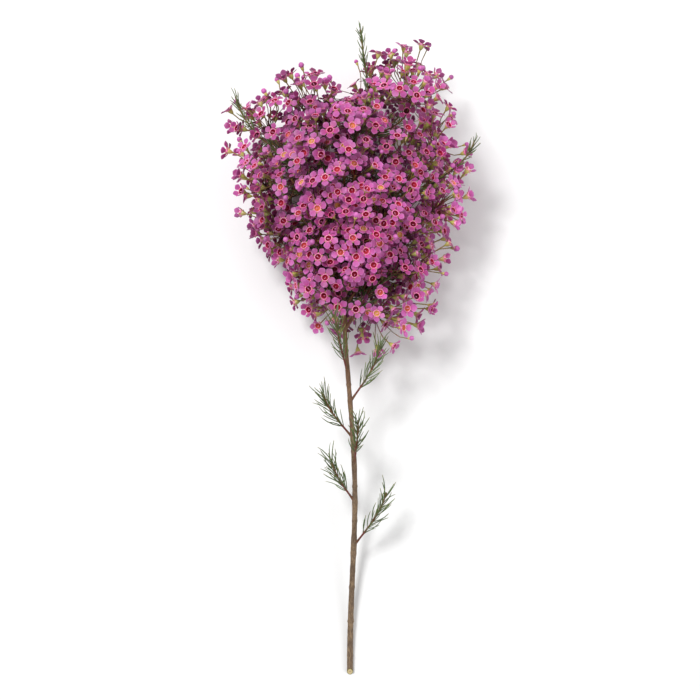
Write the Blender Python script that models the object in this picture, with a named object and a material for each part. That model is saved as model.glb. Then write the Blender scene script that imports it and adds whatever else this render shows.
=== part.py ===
"""A cut waxflower stem, lying on a flat surface.

Metres, +Z up, the surface is z = 0. The cut butt lies at -Y and the flowering crown at +Y.
A woody stem carries leafy branches, and their twigs carry clusters of five-petalled blooms.
The blooms are spread over the outline of a flattened crown, and the branches grow out to meet them.
"""

import math
import random
from collections import namedtuple

import bmesh
import bpy
import numpy as np
from mathutils import Vector

# Driving dimensions of the stem and its crown
BUTT_Y = -0.331
LEADER_Y = 0.186
BUTT_RADIUS = 0.0031
LEADER_RADIUS = 0.0014
CROWN_CENTRE = Vector((0.003, 0.146, 0.070))
CROWN_HALF = Vector((0.120, 0.172, 0.068))
CROWN_TAPER = 0.42
LOBES = 17
LOBE_SEED = 8
LOBE_OUT = (0.56, 0.76)
LOBE_RADIUS = (0.30, 0.44)
LOBE_FACING = 0.45
LEAST_SWELL = 0.72
LIFT_SHARE = 0.66
SWAY = 0.008
CUT_SLANT = 0.9

# How the blooms and their clusters spread over the crown
SEED = 25
BLOOMS = 200
CLUSTERS = 41
MOST_IN_CLUSTER = 7
NECK = -0.78
SITE_REACH = 0.085
BLOOM_REACH = 0.042
SPREAD_STEPS = 60
SPREAD_PUSH = 0.15
CLUSTER_SHIFT = (-0.010, 0.010)
DEPTH_JITTER = 0.003
LET_DOWN = -0.97
BLOOM_CLEARANCE = 0.0008
RING_SIZES = (11, 13, 12, 5)
RING_BRANCHES = (3, 4, 4, 1)
LEAST_NORMAL_Z = -0.35
NORMAL_SCATTER = 0.20
FORWARD_LEAN = 0.22
CLUSTER_LEAN = 0.30
FAN_OUT = 0.35
LEAST_PEDICEL_LEAN = 0.35
LEAST_MIDDLE_Z = 0.016

# Branches and twigs
FORK_ANGLE = math.radians(34)
FIRST_FORK_Y = -0.089
FORK_SCATTER = 0.05
FORK_SLACK = (1.05, 1.35)
BRANCH_REACH = 0.50
LEADER_REACH = 0.45
FIRST_TWIG, LAST_TWIG = 0.62, 0.97
LIMB_PULL = 0.38
BRANCH_RADII = (0.0017, 0.0011)
TWIG_RADII = (0.0010, 0.0008)
WOODY_SHARE = 0.34
JOINT_GAP = 0.0003
LIMB_CLEARANCE = 0.0012
LIMB_TRIES = 150
TIP_SHOOTS = 3
TIP_SHOOT_START = 0.9
TIP_SHOOT_RISE = 0.026
TIP_SHOOT_RADIUS = 0.0008
SHOOT_RADIUS = 0.0011
SHOOT_STUB = 0.009
SHOOT_LENGTH = (0.052, 0.070)
SHOOT_PLACES = (
    (-0.204, 0.35), (-0.160, 2.75), (-0.122, 1.35), (-0.096, 3.05), (-0.060, 0.10), (-0.032, 1.85),
)
LEAST_SHOOT_Z = 0.012

# A cluster and its blooms
HUB_DEPTH = 0.020
PEDUNCLE = 0.013
PEDUNCLE_RADIUS = 0.0014
PEDICEL_RADIUS = 0.0006
CALYX_DEPTH = 0.0064
CALYX_RADIUS = 0.0012
PETAL_REACH = 0.0110
PETAL_NOTCH = 0.0056
PETAL_HALF_TURN = math.radians(20)
NOTCH_RISE, PETAL_RISE = 0.0007, 0.0023
DISH_DEPTH = 0.0006
FLARE_RADIUS, FLARE_DEPTH = 0.0046, 0.0010
BLOOM_TRIES = 130
FIRST_PEDICEL, LAST_PEDICEL = 0.22, 0.98

# Needle leaves
BRANCH_WHORLS, TWIG_WHORLS, SHOOT_WHORLS = 3, 2, 5
NEEDLE_LENGTH = (0.018, 0.025)
NEEDLE_BASE = 0.0011
NEEDLE_SPLAY = 0.75
TIP_NEEDLE_LENGTH = (0.014, 0.018)
TIP_NEEDLE_SPLAY = 0.35
SHOOT_NEEDLE_SPLAY = 0.5
NEEDLE_HALF_THICKNESS = 0.0004
NEEDLE_CLEARANCE = 0.0008
LEAST_NEEDLE_Z = 0.0008
NEAR = 0.004

GOLDEN_TURN = math.pi * (3 - math.sqrt(5))
UP = Vector((0, 0, 1))
ALONG = Vector((0, 1, 0))

Limb = namedtuple("Limb", "p0 p1 p2 p3 thick thin")
Bloom = namedtuple("Bloom", "root centre normal side")
Cluster = namedtuple("Cluster", "name foot top axis blooms")
Branch = namedtuple("Branch", "limb twigs clusters shoots")


def mixed(a, b, share):
    return a + (b - a) * share


def smooth(t):
    t = min(1.0, max(0.0, t))
    return t * t * (3 - 2 * t)


def axis_point(y):
    """The main stem's centreline: it lies on the surface at the butt and rises into the crown."""
    t = (y - BUTT_Y) / (LEADER_Y - BUTT_Y)
    sway = SWAY * math.sin(5.2 * t + 0.4) * smooth(2 * t)
    return Vector((sway, y, mixed(BUTT_RADIUS, CROWN_CENTRE.z, smooth(t / LIFT_SHARE))))


def axis_heading(y):
    return (axis_point(y + 0.002) - axis_point(y - 0.002)).normalized()


def axis_radius(y):
    return mixed(BUTT_RADIUS, LEADER_RADIUS, (y - BUTT_Y) / (LEADER_Y - BUTT_Y))


def point_on(limb, t):
    s = 1 - t
    return s**3 * limb.p0 + 3 * s * s * t * limb.p1 + 3 * s * t * t * limb.p2 + t**3 * limb.p3


def heading_on(limb, t):
    s = 1 - t
    slope = s * s * (limb.p1 - limb.p0) + 2 * s * t * (limb.p2 - limb.p1) + t * t * (limb.p3 - limb.p2)
    return slope.normalized()


def radius_on(limb, t):
    return mixed(limb.thick, limb.thin, t)


def limb_between(start, away, end, arrive, radii):
    """A curve that leaves start along away and reaches end along arrive."""
    pull = (end - start).length * LIMB_PULL
    return Limb(start, start + away * pull, end - arrive * pull, end, *radii)


def side_of(direction):
    """A unit vector square to direction."""
    return direction.cross(UP if abs(direction.z) < 0.9 else ALONG).normalized()


def crown_lobes():
    """The crown's domes as (centre, radius) in a space where the crown is a unit ball."""
    rng = random.Random(LOBE_SEED)
    lobes = []
    for i in range(LOBES):
        y = 1 - (2 * i + 1) / LOBES
        turn = i * GOLDEN_TURN + rng.uniform(-0.3, 0.3)
        reach = math.sqrt(1 - y * y)
        out = Vector((reach * math.cos(turn), y, reach * math.sin(turn)))
        lobes.append((out * rng.uniform(*LOBE_OUT), rng.uniform(*LOBE_RADIUS)))
    return lobes


def crown_half(y):
    """The crown's half sizes where its unit ball has this y. They narrow towards the neck."""
    taper = 1 + CROWN_TAPER * y
    return np.stack([CROWN_HALF.x * taper, CROWN_HALF.y + 0 * taper, CROWN_HALF.z * taper], axis=-1)


def on_crown(unit):
    """The crown's surface point and normal in a direction from its centre, on its furthest dome."""
    swell, facing = LEAST_SWELL, unit
    for centre, radius in CROWN_LOBES:
        along = unit.dot(centre)
        square = along * along - centre.length_squared + radius * radius
        if square > 0 and along + math.sqrt(square) > swell:
            swell = along + math.sqrt(square)
            facing = unit * swell - centre
    point = CROWN_CENTRE + Vector([u * h for u, h in zip(unit, crown_half(unit.y))]) * swell
    outward = mixed(unit, facing.normalized(), LOBE_FACING)
    normal = Vector([u / h for u, h in zip(outward, CROWN_HALF)]).normalized()
    return point, normal


CROWN_LOBES = crown_lobes()


def spread_units(count, reach, rng):
    """Directions from the crown's centre: random at first, then pushed apart over its surface."""
    units = np.array([[rng.gauss(0, 1) for _ in range(3)] for _ in range(count)])
    for _ in range(SPREAD_STEPS):
        units /= np.linalg.norm(units, axis=1)[:, None]
        units[:, 1] = np.maximum(units[:, 1], NECK)
        half = crown_half(units[:, 1])
        points = units * half
        away = points[:, None] - points[None]
        gap = np.linalg.norm(away, axis=2)
        pull = np.where((gap > 0) & (gap < reach), (reach - gap) / (gap + 1e-4), 0.0)
        points += (away * pull[:, :, None]).sum(axis=1) * SPREAD_PUSH
        units = points / half
    units /= np.linalg.norm(units, axis=1)[:, None]
    return [Vector(unit) for unit in units]


def clustered(bloom_units, sites):
    """The blooms shared out to the nearest cluster site that still has room."""
    pairs = []
    for i, unit in enumerate(bloom_units):
        for j, site in enumerate(sites):
            pairs.append(((on_crown(unit)[0] - on_crown(site)[0]).length, i, j))
    groups = [[] for _ in sites]
    placed = set()
    for _, i, j in sorted(pairs):
        if i not in placed and len(groups[j]) < MOST_IN_CLUSTER:
            groups[j].append(bloom_units[i])
            placed.add(i)
    return groups


def ringed(groups, sites):
    """The clusters in rings from the neck to the tip, each ring cut into sets that share a branch."""
    rest = sorted(zip(sites, groups), key=lambda pair: pair[0].y)
    sets = []
    for size, count in zip(RING_SIZES, RING_BRANCHES):
        ring, rest = rest[:size], rest[size:]
        ring.sort(key=lambda pair: math.atan2(pair[0].z, pair[0].x))
        cuts = [round(size * i / count) for i in range(count + 1)]
        sets += [[group for _, group in ring[a:b]] for a, b in zip(cuts, cuts[1:])]
    return sets


def square_to(direction, reference):
    """Two unit vectors square to direction, the first of them nearest to reference."""
    other = direction.cross(reference).normalized()
    return other.cross(direction), other


def petal_edge(bloom):
    """The outline of the five petals as (turn, point): a notch and two shoulders for each."""
    side, other = square_to(bloom.normal, bloom.side)
    edge = []
    for petal in range(5):
        middle = (petal + 0.5) * math.tau / 5
        for angle, reach, rise in (
            (middle - math.pi / 5, PETAL_NOTCH, NOTCH_RISE),
            (middle - PETAL_HALF_TURN, PETAL_REACH, PETAL_RISE),
            (middle + PETAL_HALF_TURN, PETAL_REACH, PETAL_RISE),
        ):
            out = side * math.cos(angle) + other * math.sin(angle)
            edge.append((angle, bloom.centre + out * reach + bloom.normal * rise))
    return edge


def unfolded(bloom):
    """The bloom turned, where it has to be, so that its pedicel meets the calyx from behind."""
    for _ in range(6):
        pedicel = (bloom.centre - bloom.normal * CALYX_DEPTH - bloom.root).normalized()
        if bloom.normal.dot(pedicel) < LEAST_PEDICEL_LEAN:
            bloom = bloom._replace(normal=(bloom.normal + pedicel * 0.5).normalized())
    return bloom


def rested(bloom, let_down=False):
    """The bloom lifted until no petal is under the surface. One that is let down always ends on it."""
    lowest = min(corner.z for _, corner in petal_edge(bloom))
    return bloom._replace(centre=bloom.centre - UP * lowest) if lowest < 0 or let_down else bloom


def make_cluster(units, name, space, rng):
    """Blooms on the crown's surface, and the stalk below them from which their pedicels leave."""
    spots = []
    shift = rng.uniform(*CLUSTER_SHIFT)
    for unit in units:
        point, normal = on_crown(unit)
        let_down = normal.z < LET_DOWN
        normal.z = max(normal.z, LEAST_NORMAL_Z)
        scatter = Vector([rng.gauss(0, NORMAL_SCATTER) for _ in range(3)])
        normal = (normal + ALONG * FORWARD_LEAN + scatter).normalized()
        depth = shift + rng.uniform(-DEPTH_JITTER, DEPTH_JITTER)
        spots.append((point + normal * depth, normal, let_down))
    middle = sum((spot[0] for spot in spots), Vector()) / len(spots)
    outward = sum((spot[1] for spot in spots), Vector()) / len(spots)
    axis = (outward.normalized() + ALONG * CLUSTER_LEAN).normalized()
    middle.z = max(middle.z, LEAST_MIDDLE_Z)
    top = middle - axis * HUB_DEPTH
    foot = top - axis * PEDUNCLE
    spots.sort(key=lambda spot: -(spot[0] - middle).length)
    blooms = []
    for i, (point, normal, let_down) in enumerate(spots):
        normal = (normal + (point - top).normalized() * FAN_OUT).normalized()
        side = side_of(normal)
        turn = rng.uniform(0, math.tau)
        side = side * math.cos(turn) + normal.cross(side) * math.sin(turn)
        root = mixed(foot, top, mixed(FIRST_PEDICEL, LAST_PEDICEL, i / len(spots)))
        bloom = Bloom(root, point, normal, side)
        blooms.append(settled_bloom(bloom, let_down, blooms, name, space, rng))
    return Cluster(name, foot, top, axis, blooms)


def bloom_rods(bloom):
    """A bloom as rods: its pedicel, its calyx and a spoke to each corner of the petals."""
    base = bloom.centre - bloom.normal * CALYX_DEPTH
    rods = [(bloom.root, base, PEDICEL_RADIUS), (base, bloom.centre, 0.003)]
    for _, point in petal_edge(bloom):
        rods.append((bloom.centre, mixed(bloom.centre, point, 0.92), 0.0016))
    return rods


def settled_bloom(bloom, let_down, sisters, owner, space, rng):
    """The bloom, moved a little more at each try until it keeps clear of what is already placed."""
    best, most = None, -1.0
    for i in range(BLOOM_TRIES):
        reach = 0.0003 * i
        moved = bloom.centre + Vector([rng.uniform(-reach, reach) for _ in range(3)])
        trial = rested(bloom._replace(centre=moved), let_down)
        gaps = [(trial.centre - sister.centre).length - 2 * PETAL_REACH for sister in sisters]
        room = min(gaps + [space.room(*rod, (owner,)) for rod in bloom_rods(trial)])
        if room > most:
            best, most = trial, room
        if most >= BLOOM_CLEARANCE:
            break
    return rested(unfolded(best), let_down)


class Space:
    """The rods and petals already placed, so that a later limb or needle can keep clear of them."""

    def __init__(self):
        self.rods = []

    def add(self, owner, a, b, radius, limb=None):
        self.rods.append((owner, limb, a, b, radius, (a + b) / 2, (a - b).length / 2 + radius))

    def add_limb(self, owner, limb, t0=0.0, t1=1.0):
        ts = [mixed(t0, t1, i / 5) for i in range(6)]
        for t, after in zip(ts, ts[1:]):
            self.add(owner, point_on(limb, t), point_on(limb, after), radius_on(limb, t), limb)

    def add_cluster(self, cluster):
        self.add(cluster.name, cluster.foot, cluster.top, PEDUNCLE_RADIUS)
        for bloom in cluster.blooms:
            for rod in bloom_rods(bloom):
                self.add(cluster.name, *rod)

    def room(self, a, b, radius, owners, limb=None):
        """The narrowest gap from a rod to what is placed, leaving out its own limb, or else its owners."""
        middle, half = (a + b) / 2, (b - a).length / 2 + radius
        least = NEAR
        for other, other_limb, c, d, other_radius, other_middle, other_half in self.rods:
            own = other_limb is limb if limb else other in owners
            if not own and (other_middle - middle).length < half + other_half + NEAR:
                least = min(least, segment_gap(a, b, c, d) - radius - other_radius)
        return least

    def limb_room(self, owners, limb, t0):
        ts = [mixed(t0, 1.0, i / 6) for i in range(7)]
        ends = [(point_on(limb, t), radius_on(limb, t)) for t in ts]
        return min(self.room(a, b, radius, owners) for (a, radius), (b, _) in zip(ends, ends[1:]))


def segment_gap(a0, a1, b0, b1):
    """The shortest distance between two straight segments."""
    u, v, w = a1 - a0, b1 - b0, a0 - b0
    a, b, c, d, e = u.dot(u), u.dot(v), v.dot(v), u.dot(w), v.dot(w)
    det = a * c - b * b
    s = min(1.0, max(0.0, (b * e - c * d) / det)) if det > 1e-14 else 0.0
    t = min(1.0, max(0.0, (b * s + e) / c)) if c > 1e-14 else 0.0
    s = min(1.0, max(0.0, (b * t - d) / a)) if a > 1e-14 else 0.0
    return (a0 + u * s - b0 - v * t).length


def settled(limb, owners, space, rng, t0=0.0):
    """The limb, bent a little more at each try until it keeps clear of every node but its owners."""
    best, most = limb, space.limb_room(owners, limb, t0)
    for i in range(LIMB_TRIES):
        if most >= LIMB_CLEARANCE:
            break
        reach = 0.0015 + 0.0005 * i
        bend = Vector([rng.uniform(-reach, reach) for _ in range(3)])
        trial = limb._replace(p1=limb.p1 + bend, p2=mixed(limb.p3, limb.p2, rng.uniform(0.5, 1.7)))
        room = space.limb_room(owners, trial, t0)
        if room > most:
            best, most = trial, room
    return best


def branch_limb(clusters, rng, leader):
    """One side branch, starting low enough on the stem to leave it at the fork angle."""
    middle = sum((c.foot for c in clusters), Vector()) / len(clusters)
    if leader:
        start, away = axis_point(LEADER_Y), axis_heading(LEADER_Y)
        end = mixed(start, middle, LEADER_REACH)
    else:
        spread = Vector((middle.x, 0, middle.z - CROWN_CENTRE.z))
        y = middle.y - spread.length / math.tan(FORK_ANGLE) * rng.uniform(*FORK_SLACK)
        start = axis_point(max(FIRST_FORK_Y + rng.uniform(0, FORK_SCATTER), y))
        away = axis_heading(start.y) * math.cos(FORK_ANGLE) + spread.normalized() * math.sin(FORK_ANGLE)
        end = mixed(start, middle, BRANCH_REACH)
    return limb_between(start, away.normalized(), end, (middle - start).normalized(), BRANCH_RADII)


def tip_sites(units, count):
    """Directions on the crown's upper and far side that lie furthest from every bloom."""
    found = []
    for i in range(400):
        y = 1 - (i + 0.5) / 400 * 0.9
        angle = i * GOLDEN_TURN
        reach = math.sqrt(1 - y * y)
        unit = Vector((reach * math.cos(angle), y, reach * math.sin(angle)))
        if unit.z > 0.05:
            point = on_crown(unit)[0]
            found.append((min((point - on_crown(other)[0]).length for other in units), unit))
    found.sort(key=lambda pair: -pair[0])
    chosen = []
    for _, unit in found:
        if all((unit - other).length > 0.7 for other in chosen):
            chosen.append(unit)
    return chosen[:count]


def lower_shoots(rng):
    """Short leafy shoots on the stem below the crown, turned round it and kept off the surface."""
    shoots = []
    for y, turn in SHOOT_PLACES:
        out = Vector((math.cos(turn), 0, math.sin(turn)))
        away = (axis_heading(y) * 0.80 + out * 0.60).normalized()
        start = axis_point(y)
        length = rng.uniform(*SHOOT_LENGTH)
        arrive = (axis_heading(y) + out * 0.25).normalized()
        end = start + away * length * 0.75 + arrive * length * 0.25
        end.z = max(end.z, LEAST_SHOOT_Z)
        shoots.append(limb_between(start, away, end, arrive, (SHOOT_RADIUS, SHOOT_RADIUS * 0.7)))
    return shoots


def branch_name(i):
    return f"leafy_branch_{i + 1:02d}"


def cluster_name(i):
    return f"bloom_cluster_{i + 1:02d}"


def grow():
    """The whole skeleton, and the space that it fills. Limbs that come too near another node are bent."""
    rng = random.Random(SEED)
    sites = spread_units(CLUSTERS, SITE_REACH, rng)
    bloom_units = spread_units(BLOOMS, BLOOM_REACH, rng)
    sets = ringed(clustered(bloom_units, sites), sites)
    space = Space()
    for i in range(20):
        y, after = (mixed(BUTT_Y, LEADER_Y, (i + k) / 20) for k in (0, 1))
        space.add("woody_stem", axis_point(y), axis_point(after), axis_radius(y))
    branches = []
    clusters = []
    for groups in sets:
        clusters.append([])
        for units in groups:
            name = cluster_name(sum(len(group) for group in clusters))
            clusters[-1].append(make_cluster(units, name, space, rng))
            space.add_cluster(clusters[-1][-1])
    for i, group in enumerate(clusters):
        leader = i == len(clusters) - 1
        limb = branch_limb(group, rng, leader)
        woody = 0.0 if leader else WOODY_SHARE
        if not leader:
            limb = settled(limb, (branch_name(i),), space, rng, WOODY_SHARE + 0.05)
            space.add_limb("woody_stem", limb, 0.0, woody)
        space.add_limb(branch_name(i), limb, woody)
        branches.append(Branch(limb, [], group, []))
    for i, branch in enumerate(branches):
        limb = branch.limb
        near_first = sorted(branch.clusters, key=lambda c: (c.foot - limb.p0).length)
        for k, cluster in enumerate(near_first):
            t = mixed(FIRST_TWIG, LAST_TWIG, k / max(1, len(branch.clusters) - 1))
            start = point_on(limb, t)
            away = (heading_on(limb, t) + (cluster.foot - start).normalized()).normalized()
            twig = limb_between(start, away, cluster.foot, cluster.axis, TWIG_RADII)
            twig = settled(twig, (branch_name(i), cluster.name), space, rng)
            space.add_limb(branch_name(i), twig)
            branch.twigs.append(twig)
    for unit in tip_sites(bloom_units, TIP_SHOOTS):
        point, normal = on_crown(unit)
        tip = point + (normal + ALONG * 0.7).normalized() * TIP_SHOOT_RISE
        i = min(range(len(branches)), key=lambda k: (point_on(branches[k].limb, 1) - point).length)
        limb = branches[i].limb
        start, away = point_on(limb, TIP_SHOOT_START), heading_on(limb, TIP_SHOOT_START)
        arrive = (normal * 0.6 + ALONG).normalized()
        shoot = limb_between(start, away, tip, arrive, (TIP_SHOOT_RADIUS, TIP_SHOOT_RADIUS))
        shoot = settled(shoot, (branch_name(i),), space, rng)
        space.add_limb(branch_name(i), shoot)
        branches[i].shoots.append(shoot)
    shoots = lower_shoots(rng)
    for i, shoot in enumerate(shoots):
        shoots[i] = settled(shoot, (f"leafy_shoot_{i + 1}",), space, rng, 0.35)
        space.add_limb(f"leafy_shoot_{i + 1}", shoots[i])
    return branches, shoots, space


def new_object(name, bm):
    bmesh.ops.recalc_face_normals(bm, faces=bm.faces)
    mesh = bpy.data.meshes.new(name)
    bm.to_mesh(mesh)
    bm.free()
    made = bpy.data.objects.new(name, mesh)
    bpy.context.scene.collection.objects.link(made)
    return made


def ring_points(centre, direction, reference, radius, count, phase=0.0):
    """Points round a circle as (turn, point)."""
    side, other = square_to(direction, reference)
    turns = [phase + math.tau * i / count for i in range(count)]
    return [(t, centre + (side * math.cos(t) + other * math.sin(t)) * radius) for t in turns]


def zip_rings(bm, lower, upper):
    """Triangles between two rings of (turn, vertex) with any counts, stepped round by turn."""
    i = j = 0
    while i < len(lower) or j < len(upper):
        low, high = lower[i % len(lower)], upper[j % len(upper)]
        next_low, next_high = lower[(i + 1) % len(lower)], upper[(j + 1) % len(upper)]
        low_turn = next_low[0] + math.tau * ((i + 1) // len(lower))
        high_turn = next_high[0] + math.tau * ((j + 1) // len(upper))
        if j >= len(upper) or (i < len(lower) and low_turn <= high_turn):
            bm.faces.new((low[1], next_low[1], high[1]))
            i += 1
        else:
            bm.faces.new((low[1], next_high[1], high[1]))
            j += 1


def solid_of_rings(name, rings, close_to=None):
    """A closed solid through the rings, with a flat face at the start, and a face or a point at the end."""
    bm = bmesh.new()
    made = [[(turn, bm.verts.new(point)) for turn, point in ring] for ring in rings]
    for lower, upper in zip(made, made[1:]):
        zip_rings(bm, lower, upper)
    bm.faces.new([vert for _, vert in reversed(made[0])])
    last = [vert for _, vert in made[-1]]
    if close_to is None:
        bm.faces.new(last)
    else:
        tip = bm.verts.new(close_to)
        for a, b in zip(last, last[1:] + last[:1]):
            bm.faces.new((a, b, tip))
    return new_object(name, bm)


def limb_tube(name, limb, t0, t1, steps, sides):
    ts = [mixed(t0, t1, i / steps) for i in range(steps + 1)]
    reference = side_of(heading_on(limb, 0.5))
    rings = []
    for t in ts:
        centre, heading = point_on(limb, t), heading_on(limb, t)
        rings.append(ring_points(centre, heading, reference, radius_on(limb, t), sides))
    return solid_of_rings(name, rings)


def leafy_tube(limb, t0, t1, whorls, owner, space, rng, start_gap=0.0, splay=NEEDLE_SPLAY,
               lengths=NEEDLE_LENGTH):
    """A three-sided twig with whorls of needles drawn out of its faces, each whorl turned on from the last.

    A needle that would come too near another node is left out. start_gap moves the first face on.
    """
    reference = side_of(heading_on(limb, 0.5))
    long = (limb.p3 - limb.p0).length
    rings = [(t0, start_gap, 0.0)]
    for k in range(whorls):
        t = mixed(t0, t1, (k + 0.75) / (whorls + 0.25))
        half = NEEDLE_BASE / long / 2
        phase = (k % 2) * math.pi / 3
        rings += [(t - half, 0.0, phase), (t + half, 0.0, phase)]
    if rings[-1][0] < t1 - 1.5 * NEEDLE_BASE / long:
        rings.append((t1, 0.0, rings[-1][2]))
    bm = bmesh.new()
    made = []
    for t, shift, phase in rings:
        centre = point_on(limb, t) + heading_on(limb, t) * shift
        ring = ring_points(centre, heading_on(limb, t), reference, radius_on(limb, t), 3, phase)
        made.append([(turn, bm.verts.new(point)) for turn, point in ring])
    for k, (lower, upper) in enumerate(zip(made, made[1:])):
        if k % 2 == 0 or k // 2 >= whorls:
            zip_rings(bm, lower, upper)
            continue
        t = rings[k][0]
        middle, forward = point_on(limb, t), heading_on(limb, t)
        for i in range(3):
            corners = [lower[i][1], lower[(i + 1) % 3][1], upper[(i + 1) % 3][1], upper[i][1]]
            root = sum((corner.co for corner in corners), Vector()) / 4
            out = (root - middle - forward * (root - middle).dot(forward)).normalized()
            direction = (forward + out * splay * rng.uniform(0.85, 1.2)).normalized()
            tip = root + direction * rng.uniform(*lengths)
            rod = (root, tip, NEEDLE_HALF_THICKNESS)
            if tip.z < LEAST_NEEDLE_Z or space.room(*rod, (owner,), limb) < NEEDLE_CLEARANCE:
                bm.faces.new(corners)
                continue
            space.add(owner, *rod, limb)
            apex = bm.verts.new(tip)
            for a, b in zip(corners, corners[1:] + corners[:1]):
                bm.faces.new((a, b, apex))
    bm.faces.new([vert for _, vert in reversed(made[0])])
    bm.faces.new([vert for _, vert in made[-1]])
    return new_object("twig", bm)


def bloom_solid(bloom):
    """A three-sided pedicel, a flaring calyx, and five petals that form one dish."""
    normal, centre = bloom.normal, bloom.centre
    base = centre - normal * CALYX_DEPTH
    pedicel = (base - bloom.root).normalized()
    rings = []
    for point, direction, radius in (
        (bloom.root, pedicel, PEDICEL_RADIUS),
        (base, (pedicel + normal).normalized(), CALYX_RADIUS),
        (centre - normal * FLARE_DEPTH, normal, FLARE_RADIUS),
    ):
        reference = normal.rotation_difference(direction) @ bloom.side
        rings.append(ring_points(point, direction, reference, radius, 3))
    return solid_of_rings("bloom", [*rings, petal_edge(bloom)], centre - normal * DISH_DEPTH)


def fuse(name, solids, material):
    """One Boolean union of all the solids, applied, under one name."""
    body, others = solids[0], solids[1:]
    if others:
        pool = bpy.data.collections.new(name + "_pieces")
        bpy.context.scene.collection.children.link(pool)
        for other in others:
            bpy.context.scene.collection.objects.unlink(other)
            pool.objects.link(other)
        union = body.modifiers.new("union", "BOOLEAN")
        union.operation = "UNION"
        union.operand_type = "COLLECTION"
        union.collection = pool
        union.solver = "EXACT"
        bpy.context.view_layer.update()
        graph = bpy.context.evaluated_depsgraph_get()
        joined = bpy.data.meshes.new_from_object(body.evaluated_get(graph))
        body.modifiers.clear()
        body.data = joined
        for other in others:
            bpy.data.objects.remove(other)
        bpy.data.collections.remove(pool)
    body.name = name
    body.data.name = name
    body.data.materials.clear()
    body.data.materials.append(material)
    body.data.shade_flat()
    return body


def material(name, colour, roughness):
    made = bpy.data.materials.new(name)
    made.use_nodes = True
    shader = made.node_tree.nodes["Principled BSDF"]
    shader.inputs["Base Color"].default_value = (*colour, 1)
    shader.inputs["Roughness"].default_value = roughness
    shader.inputs["Metallic"].default_value = 0.0
    return made


def stub_share(shoot):
    return SHOOT_STUB / (shoot.p3 - shoot.p0).length


def woody_stem(branches, shoots, bark):
    """The main stem with its slanted cut, and the woody start of every branch and shoot."""
    ys = [mixed(BUTT_Y, LEADER_Y, i / 11) for i in range(12)]
    rings = [ring_points(axis_point(y), axis_heading(y), UP, axis_radius(y), 6) for y in ys]
    slant = [(turn, p + ALONG * (p.z - BUTT_RADIUS) * CUT_SLANT) for turn, p in rings[0]]
    solids = [solid_of_rings("stem", [slant, *rings[1:]])]
    for branch in branches[:-1]:
        solids.append(limb_tube("base", branch.limb, 0.0, WOODY_SHARE, 2, 4))
    for shoot in shoots:
        solids.append(limb_tube("stub", shoot, 0.0, stub_share(shoot), 1, 4))
    return fuse("woody_stem", solids, bark)


def leafy_branch(name, branch, leader, space, rng, leaf):
    """The green end of a branch with its twigs, tip shoots and needles."""
    start = 0.0 if leader else WOODY_SHARE
    solids = [leafy_tube(branch.limb, start, 1.0, BRANCH_WHORLS, name, space, rng, JOINT_GAP)]
    for twig in branch.twigs:
        solids.append(leafy_tube(twig, 0.0, 1.0, TWIG_WHORLS, name, space, rng))
    for shoot in branch.shoots:
        solids.append(leafy_tube(
            shoot, 0.0, 1.0, SHOOT_WHORLS, name, space, rng,
            splay=TIP_NEEDLE_SPLAY, lengths=TIP_NEEDLE_LENGTH,
        ))
    return fuse(name, solids, leaf)


def leafy_shoot(name, shoot, space, rng, leaf):
    start = stub_share(shoot)
    tube = leafy_tube(shoot, start, 1.0, SHOOT_WHORLS, name, space, rng, JOINT_GAP, SHOOT_NEEDLE_SPLAY)
    return fuse(name, [tube], leaf)


def bloom_cluster(cluster, petal):
    side = side_of(cluster.axis)
    ends = (cluster.foot + cluster.axis * JOINT_GAP, cluster.top + cluster.axis * 0.001)
    rings = [ring_points(end, cluster.axis, side, PEDUNCLE_RADIUS, 3) for end in ends]
    blooms = [bloom_solid(bloom) for bloom in cluster.blooms]
    return fuse(cluster.name, [solid_of_rings("stalk", rings), *blooms], petal)


def main():
    for old in list(bpy.data.objects):
        bpy.data.objects.remove(old)
    bark = material("bark", (0.20, 0.13, 0.075), 0.8)
    leaf = material("leaf", (0.10, 0.16, 0.05), 0.55)
    petal = material("petal", (0.55, 0.09, 0.34), 0.5)

    branches, shoots, space = grow()
    rng = random.Random(SEED + 1)
    woody_stem(branches, shoots, bark)
    for i, branch in enumerate(branches):
        leafy_branch(branch_name(i), branch, i == len(branches) - 1, space, rng, leaf)
    for i, shoot in enumerate(shoots):
        leafy_shoot(f"leafy_shoot_{i + 1}", shoot, space, rng, leaf)
    for cluster in (cluster for branch in branches for cluster in branch.clusters):
        bloom_cluster(cluster, petal)


main()
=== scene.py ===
"""The looks of a cut waxflower stem that lies on a pale surface, seen from above.

Metres, +Z up. The growth rule is the solids' own, so every fine bloom, twig and needle lies where its
solid does. On top of that each cluster gets more blooms and buds, and each twig more needles.
"""

import math
import random
from collections import namedtuple

import bpy
import numpy as np
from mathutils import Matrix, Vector, noise


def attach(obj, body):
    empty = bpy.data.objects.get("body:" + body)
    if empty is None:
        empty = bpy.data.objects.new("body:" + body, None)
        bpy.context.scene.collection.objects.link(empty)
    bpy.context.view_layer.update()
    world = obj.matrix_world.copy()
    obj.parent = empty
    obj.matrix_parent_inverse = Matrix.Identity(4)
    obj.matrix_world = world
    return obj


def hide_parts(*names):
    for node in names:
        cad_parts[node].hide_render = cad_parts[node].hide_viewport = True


# Driving dimensions of the stem and its crown, as in the solids
BUTT_Y = -0.331
LEADER_Y = 0.186
BUTT_RADIUS = 0.0031
LEADER_RADIUS = 0.0014
CROWN_CENTRE = Vector((0.003, 0.146, 0.070))
CROWN_HALF = Vector((0.120, 0.172, 0.068))
CROWN_TAPER = 0.42
LOBES = 17
LOBE_SEED = 8
LOBE_OUT = (0.56, 0.76)
LOBE_RADIUS = (0.30, 0.44)
LOBE_FACING = 0.45
LEAST_SWELL = 0.72
LIFT_SHARE = 0.66
SWAY = 0.008
CUT_SLANT = 0.9

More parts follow.
